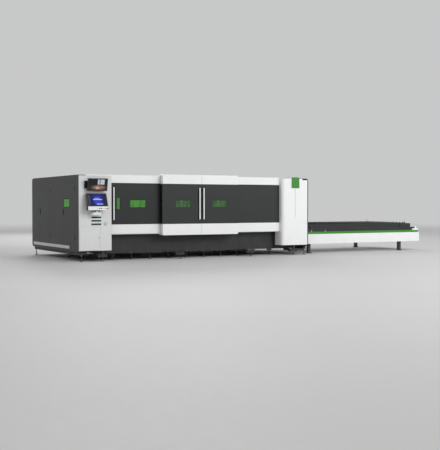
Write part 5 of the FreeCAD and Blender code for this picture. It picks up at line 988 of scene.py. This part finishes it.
# the plate in the column: units with ribs and terminals, slotted ducts
plateParts = {
    "face": -1.6505, "plate": -1.5455, "rows": 3, "rowPitch": 0.19, "units": 5, "firstLeft": -5.579,
    "pitch": 0.1, "width": 0.062, "taper": 0.006, "firstLow": 0.355, "tall": 0.105, "ribs": 7,
    "terminals": 4, "terminal": (0.0032, 0.0015), "ductLow": 0.484, "ductTall": 0.036,
    "ductDeep": 0.05, "ductSpan": (-5.6, -5.045), "teeth": 36, "tooth": 0.009, "sink": 0.002,
    # how proud, from the unit's foot, below its top or above its foot, bevel
    "cover": (0.004, 0.04, 0.008, 0.0025), "rib": (0.01, 0.03, 0.006, 0.0008), "ribWide": 0.003,
    "bar": (0.008, 0.005, 0.022, 0.0015), "screwInset": 0.006, "screwRise": 0.0135,
    "lid": (0.002, 0.001, 0.0008), "slot": (0.0005, 0.002)}


def makePlateParts():
    row = plateParts
    ribs = newPiece("unitRibs", "blackPlastic")
    ducts = newPiece("wiringDucts", "gantryPaint")
    screws = newPiece("terminalScrews", "zincPlate")
    face, tooth, wide, inset = row["face"], row["tooth"], row["ribWide"], row["screwInset"]
    back = face + row["sink"]
    coverOut, coverLow, coverTop, coverBevel = row["cover"]
    ribOut, ribLow, ribTop, ribBevel = row["rib"]
    barOut, barLow, barHigh, barBevel = row["bar"]
    lidOut, lidOver, lidBevel = row["lid"]
    lap, slotTall = row["slot"]
    for level in range(row["rows"]):
        low = row["firstLow"] + level * row["rowPitch"]
        top = low + row["tall"]
        for unit in range(row["units"]):
            left = row["firstLeft"] + unit * row["pitch"]
            right = left + row["width"] - unit * row["taper"]
            if unit % 2:
                addBox(ribs, (left, face - coverOut, low + coverLow),
                    (right, back, top - coverTop), coverBevel, 2)
            else:
                for x in spread(left, right - wide, row["ribs"]):
                    addBox(ribs, (x, face - ribOut, low + ribLow),
                        (x + wide, back, top - ribTop), ribBevel)
            addBox(ribs, (left, face - barOut, low + barLow), (right, back, low + barHigh),
                barBevel)
            boltGrid(screws, spread(left + inset, right - inset, row["terminals"]),
                (face - barOut,), (low + row["screwRise"],), facesFront, row["terminal"])
        start, end = row["ductSpan"]
        base = row["ductLow"] + level * row["rowPitch"]
        top, front = base + row["ductTall"], row["plate"] - row["ductDeep"]
        addBox(ducts, (start, front - lidOut, base - lidOver), (end, front, top + lidOver),
            lidBevel)
        for x, z in product(spread(start, end - tooth, row["teeth"]), (base, top - slotTall)):
            addBox(ducts, (x, front - lap, z), (x + tooth, row["plate"] + lap, z + slotTall), 0)


# roof: battens, pressed beads, screws and lifting eyes
roofParts = {
    "top": 2.215, "edges": (-5.6575, -4.543, -3.427, -2.311, -1.195, -0.079, 1.0355),
    "span": (-1.5, 2.055), "battenHalf": 0.025, "battenRise": 0.004, "beads": (0.26, 0.5, 0.74),
    "beadSpan": (-1.25, 1.8), "beadHalf": 0.015, "beadRise": 0.005, "screwPitch": 0.32,
    "screwInset": 0.05, "edgeInset": 0.03, "screw": (0.008, 0.004),
    "eyes": ((-5.45, -1.36), (0.83, -1.36), (-5.45, 1.92), (0.83, 1.92)),
    "eyeFoot": ((0.02, 0), (0.02, 0.006), (0.012, 0.009), (0.009, 0.013), (0, 0.013)),
    "eyeFootTop": 0.009, "eyeReach": 0.02, "eyeWire": 0.0055, "battenSink": 0.0005,
    "battenBevel": 0.0015, "beadSink": 0.003, "beadBevel": 0.0035}


def makeRoofParts():
    row = roofParts
    top, edges, (start, end) = row["top"], row["edges"], row["span"]
    battens = newPiece("roofBattens", "wallPaint")
    screws = newPiece("roofScrews", "zincPlate")
    eyes = newPiece("liftingEyes", "zincPlate")
    joints, half, rise = edges[1:-1], row["battenHalf"], row["battenRise"]
    for x in joints:
        addBox(battens, (x - half, start, top - row["battenSink"]), (x + half, end, top + rise),
            row["battenBevel"], 2)
    half, (beadStart, beadEnd) = row["beadHalf"], row["beadSpan"]
    for (low, high), share in product(zip(edges, edges[1:]), row["beads"]):
        x = low + (high - low) * share
        addBox(battens, (x - half, beadStart, top - row["beadSink"]),
            (x + half, beadEnd, top + row["beadRise"]), row["beadBevel"], 3)
    count = int((end - start) / row["screwPitch"]) + 1
    places = spread(start + row["screwInset"], end - row["screwInset"], count)
    boltGrid(screws, joints, places, (top + rise,), facesUp, row["screw"])
    ends = (edges[0] + row["edgeInset"], edges[-1] - row["edgeInset"])
    boltGrid(screws, ends, places, (top,), facesUp, row["screw"])
    reach, wire = row["eyeReach"], row["eyeWire"]
    for x, y in row["eyes"]:
        addLathe(eyes, (x, y, top), facesUp, row["eyeFoot"])
        middle = (x, y, top + row["eyeFootTop"] + reach + wire)
        addRing(eyes, middle, facesRear, reach, 0, wire, 8, 28)


# the pallet slot's lipped rim and its screws
slotTrim = {
    "face": 1.249, "low": (-1.3665, 0.39), "high": (0.8735, 0.995), "round": 0.003,
    "rim": ((0.0005, -0.002), (0.0005, 0.004), (0.002, 0.006), (0.026, 0.004), (0.03, 0.001),
        (0.03, -0.002)),
    "screwOut": 0.018, "proud": 0.0042, "screw": (0.006, 0.003), "inset": 0.06, "screws": 9,
    "sideHeights": (0.49, 0.69, 0.89)}


def makeSlotTrim():
    row = slotTrim
    rim = newPiece("slotRim", "framePaint")
    screws = newPiece("slotScrews", "zincPlate")
    addRim(rim, (row["face"], 0, 0), (0, 1, 0), row["low"], row["high"], row["round"], row["rim"])
    (y0, z0), (y1, z1), off = row["low"], row["high"], row["screwOut"]
    for ys, zs in ((spread(y0 + row["inset"], y1 - row["inset"], row["screws"]),
            (z0 - off, z1 + off)), ((y0 - off, y1 + off), row["sideHeights"])):
        boltGrid(screws, (row["face"] + row["proud"],), ys, zs, (1, 0, 0), row["screw"])


# link plates and pin heads on the outer side of each chain
chainLinks = {
    "start": -3.3, "end": 5.6, "pitch": 0.0508, "heights": (0.6515, 0.7285),
    "sides": ((-1.3405, -1), (0.8475, 1)), "half": (0.019, 0.008), "round": 0.00784, "squash": 0.5,
    "sink": 0.0005, "thick": 0.0016, "pins": (-0.012, 0.012),
    "pin": ((0.0026, -0.0005), (0.0026, 0.0006), (0.0018, 0.0011), (0, 0.0011))}


def makeChainLinks():
    row = chainLinks
    plates = newPiece("chainPlates", "chainSteel")
    pins = newPiece("chainPins", "railSteel")
    u, v = row["half"]
    loop = roundedLoop((-u, -v), (u, v), row["round"], 3)
    links = range(int((row["end"] - row["start"]) / row["pitch"]))
    for (y, way), z, link in product(row["sides"], row["heights"], links):
        x = row["start"] + link * row["pitch"]
        outer = y + way * row["thick"]
        addPrism(plates, *([(x + u, side, z + v * row["squash"]) for u, v in loop]
            for side in (y - way * row["sink"], outer)))
        for along in row["pins"]:
            addLathe(pins, (x + along, outer, z), (0, way, 0), row["pin"], 6)


# gantry: rail plugs, the drives' ribs and sockets, the head's nozzle and rings
gantryParts = {
    "rails": (-1.4265, 0.9335), "railTop": 0.99, "railSpan": (-5.17, 0.95), "plugPitch": 0.12,
    "plug": ((0.0075, -0.0003), (0.0075, 0.0004), (0.0065, 0.0007), (0.003, 0.0002), (0, 0.0002)),
    "motors": ((-1.4265, -1.3065), (0.8135, 0.9335)), "motorFace": -4.171,
    "ribSpan": (1.032, 1.202, 8), "ribInset": 0.012, "socketHeights": (1.24, 1.272),
    "socket": ((0.013, 0), (0.013, 0.01), (0.0105, 0.012), (0.0105, 0.026), (0.0085, 0.029),
        (0.0045, 0.03), (0, 0.03)),
    "head": (-3.513, -1.2465), "tip": 1.04, "body": 1.13,
    "nozzle": ((0.0022, 0.004), (0.0022, 0), (0.0098, 0.0002), (0.0102, 0.001), (0.0155, 0.02),
        (0.0185, 0.021), (0.0185, 0.031), (0.0165, 0.032)),
    "rings": ((0.006, 0.0462, 4), (0.118, 0.0462, 3), (0.196, 0.0465, 5), (0.236, 0.0462, 2)),
    "ridgePitch": 0.004, "ridgeRoot": 0.002, "ridge": ((0, 0.0008), (0, 0.0026), (0.0008, 0.0036)),
    "ribOut": 0.005, "ribSink": 0.002, "ribTall": 0.006, "ribBevel": 0.0015, "socketSink": 0.001}


def makeGantryParts():
    row = gantryParts
    plugs = newPiece("railPlugs", "zincPlate")
    motors = newPiece("motorRibs", "blackPlastic", "gantry")
    nozzle = newPiece("nozzleTip", "copper", "z_axis")
    rings = newPiece("headRings", "blackPlastic", "z_axis")
    start, end = row["railSpan"]
    places = spread(start, end, int((end - start) / row["plugPitch"]) + 1)
    for y, x in product(row["rails"], places):
        addLathe(plugs, (x, y, row["railTop"]), facesUp, row["plug"], 12)
    face, inset = row["motorFace"], row["ribInset"]
    for start, end in row["motors"]:
        for z in spread(*row["ribSpan"]):
            addBox(motors, (face - row["ribOut"], start + inset, z),
                (face + row["ribSink"], end - inset, z + row["ribTall"]), row["ribBevel"])
        for z in row["socketHeights"]:
            middle = (face + row["socketSink"], (start + end) / 2, z)
            addLathe(motors, middle, (-1, 0, 0), row["socket"], 16, (1, 2))
    addLathe(nozzle, (*row["head"], row["tip"]), facesUp, row["nozzle"], 24, (5, 6))
    for rise, radius, ridges in row["rings"]:
        root, pitch = radius - row["ridgeRoot"], row["ridgePitch"]
        profile = [(root, 0.0)]
        for ridge, (sink, along) in product(range(ridges), row["ridge"]):
            profile.append((radius - sink, ridge * pitch + along))
        profile.append((root, ridges * pitch))
        addLathe(rings, (*row["head"], row["body"] + rise), facesUp, profile, 36)


def addGuard(bm, centre, radius, rings, spokes, wire):
    # rings on crossed wires
    for reach in spread(radius * 0.25, radius, rings):
        addRing(bm, centre, facesRear, reach, wire * 2.5, wire, 6, 32)
    for u, v in circleLoop((0, 0), radius, spokes, 0.5 / spokes):
        addWire(bm, [Vector(centre) + Vector((u, 0, v)) * share for share in (-0.02, 0.5, 1.08)],
            wire, 6)


# the laser source's fan guards, pulls and hinges, and the guard in the duct's mouth
sourceParts = {
    "face": 1.8635, "fans": ((-2.02, 1.18), (-2.02, 0.92)), "fanRadius": 0.095,
    "fanGuard": (5, 4, 0.0018), "fanScrew": (0.006, 0.004), "pulls": (-2.45, -2.29),
    "pull": ((-0.003, 0.86), (0.02, 0.864), (0.028, 0.88), (0.028, 1.04), (0.02, 1.056),
        (-0.003, 1.06)),
    "pullWire": (0.0055, 10), "hingeXs": (-3.063, -1.679), "hingeLows": (0.41, 1.26),
    "hinge": ((0, 0), (0.0055, 0), (0.0055, 0.038), (0.0048, 0.039), (0.0048, 0.041),
        (0.0055, 0.042), (0.0055, 0.08), (0, 0.08)),
    "mouth": (-0.171, 2.155, 0.62), "mouthGuard": (0.138, 6, 8, 0.0025), "guardLap": 0.0005,
    "screwReach": 1.1, "screwSink": 0.004, "hingeOut": 0.004}


def makeSourceParts():
    row = sourceParts
    guards = newPiece("sourceFanGuards", "blackPlastic")
    mouth = newPiece("ductGuard", "zincPlate")
    fittings = newPiece("sourceFittings", "zincPlate")
    face, radius = row["face"], row["fanRadius"]
    for x, z in row["fans"]:
        addGuard(guards, (x, face - row["guardLap"], z), radius, *row["fanGuard"])
        for u, v in circleLoop((x, z), radius * row["screwReach"], 4, 0.125):
            addBolt(guards, (u, face - row["screwSink"], v), facesRear, *row["fanScrew"])
    for x in row["pulls"]:
        addWire(fittings, [(x, face + out, z) for out, z in row["pull"]], *row["pullWire"])
    for x, z in product(row["hingeXs"], row["hingeLows"]):
        addLathe(fittings, (x, face + row["hingeOut"], z), facesUp, row["hinge"], 14)
    addGuard(mouth, row["mouth"], *row["mouthGuard"])


makeAll(makeColumnTrim, makeCapCover, makePlateParts, makeRoofParts, makeSlotTrim, makeChainLinks,
    makeGantryParts, makeSourceParts)
print("column, roof, slot, chain, gantry and source details ready")

camera = {
    "place": (-13.453, -22.7845, 1.472), "tilt": 88.636, "turn": -29.258, "lens": 68.84,
    "sensor": 36.0, "reach": 400.0}
# each lamp: place, aim, size and power
lamps = {
    "key": ((5.0, -21.0, 12.0), (1.5, -1.0, 0.8), (14.0, 8.0), 2300.0),
    "side": ((-19.0, -3.0, 7.0), (-5.0, 0.0, 1.0), (8.0, 6.0), 150.0),
    "fill": ((13.0, -13.0, 6.0), (4.0, -1.0, 0.6), (9.0, 6.0), 360.0),
    "back": ((4.0, 16.0, 10.0), (0.0, 1.5, 1.0), (12.0, 6.0), 1100.0)}
surround = {"colour": (0.9, 0.905, 0.91), "light": 0.62, "floorRadius": 90.0, "floorDrop": 0.001}


def showObject(name, data, place=(0.0, 0.0, 0.0), turn=(0.0, 0.0, 0.0)):
    thing = bpy.data.objects.new(name, data)
    thing.location = place
    thing.rotation_euler = turn
    bpy.context.scene.collection.objects.link(thing)
    return thing


def setCamera():
    lens = bpy.data.cameras.new("photoCamera")
    lens.lens = camera["lens"]
    lens.sensor_width = camera["sensor"]
    lens.clip_end = camera["reach"]
    turn = (math.radians(camera["tilt"]), 0.0, math.radians(camera["turn"]))
    bpy.context.scene.camera = showObject("photoCamera", lens, camera["place"], turn)


def setLamps():
    for name, (place, aim, size, power) in lamps.items():
        light = bpy.data.lights.new(name + "Lamp", "AREA")
        light.shape = "RECTANGLE"
        light.size, light.size_y = size
        light.energy = power
        turn = (Vector(aim) - Vector(place)).to_track_quat("-Z", "Y").to_euler()
        showObject(name + "Lamp", light, place, turn)


def setSurround():
    world = bpy.data.worlds.new("studio")
    bpy.context.scene.world = world
    world.use_nodes = True
    now["tree"] = world.node_tree
    shade = world.node_tree.nodes["Background"]
    setInputs(shade, Color=surround["colour"], Strength=surround["light"])
    mixInto(seenRays(), shade, "Background", "World Output")
    arrange(world.node_tree)


def makeFloor():
    bm = bmesh.new()
    bmesh.ops.create_circle(bm, cap_ends=True, segments=96, radius=surround["floorRadius"])
    mesh = bpy.data.meshes.new("studioFloor")
    bm.to_mesh(mesh)
    bm.free()
    mesh.materials.append(materials["floorFinish"])
    showObject("studioFloor", mesh, (0.0, 0.0, -surround["floorDrop"]))


setCamera()
setLamps()
setSurround()
makeFloor()
bpy.context.scene.view_settings.view_transform = "Standard"
print("camera, lamps and floor ready")
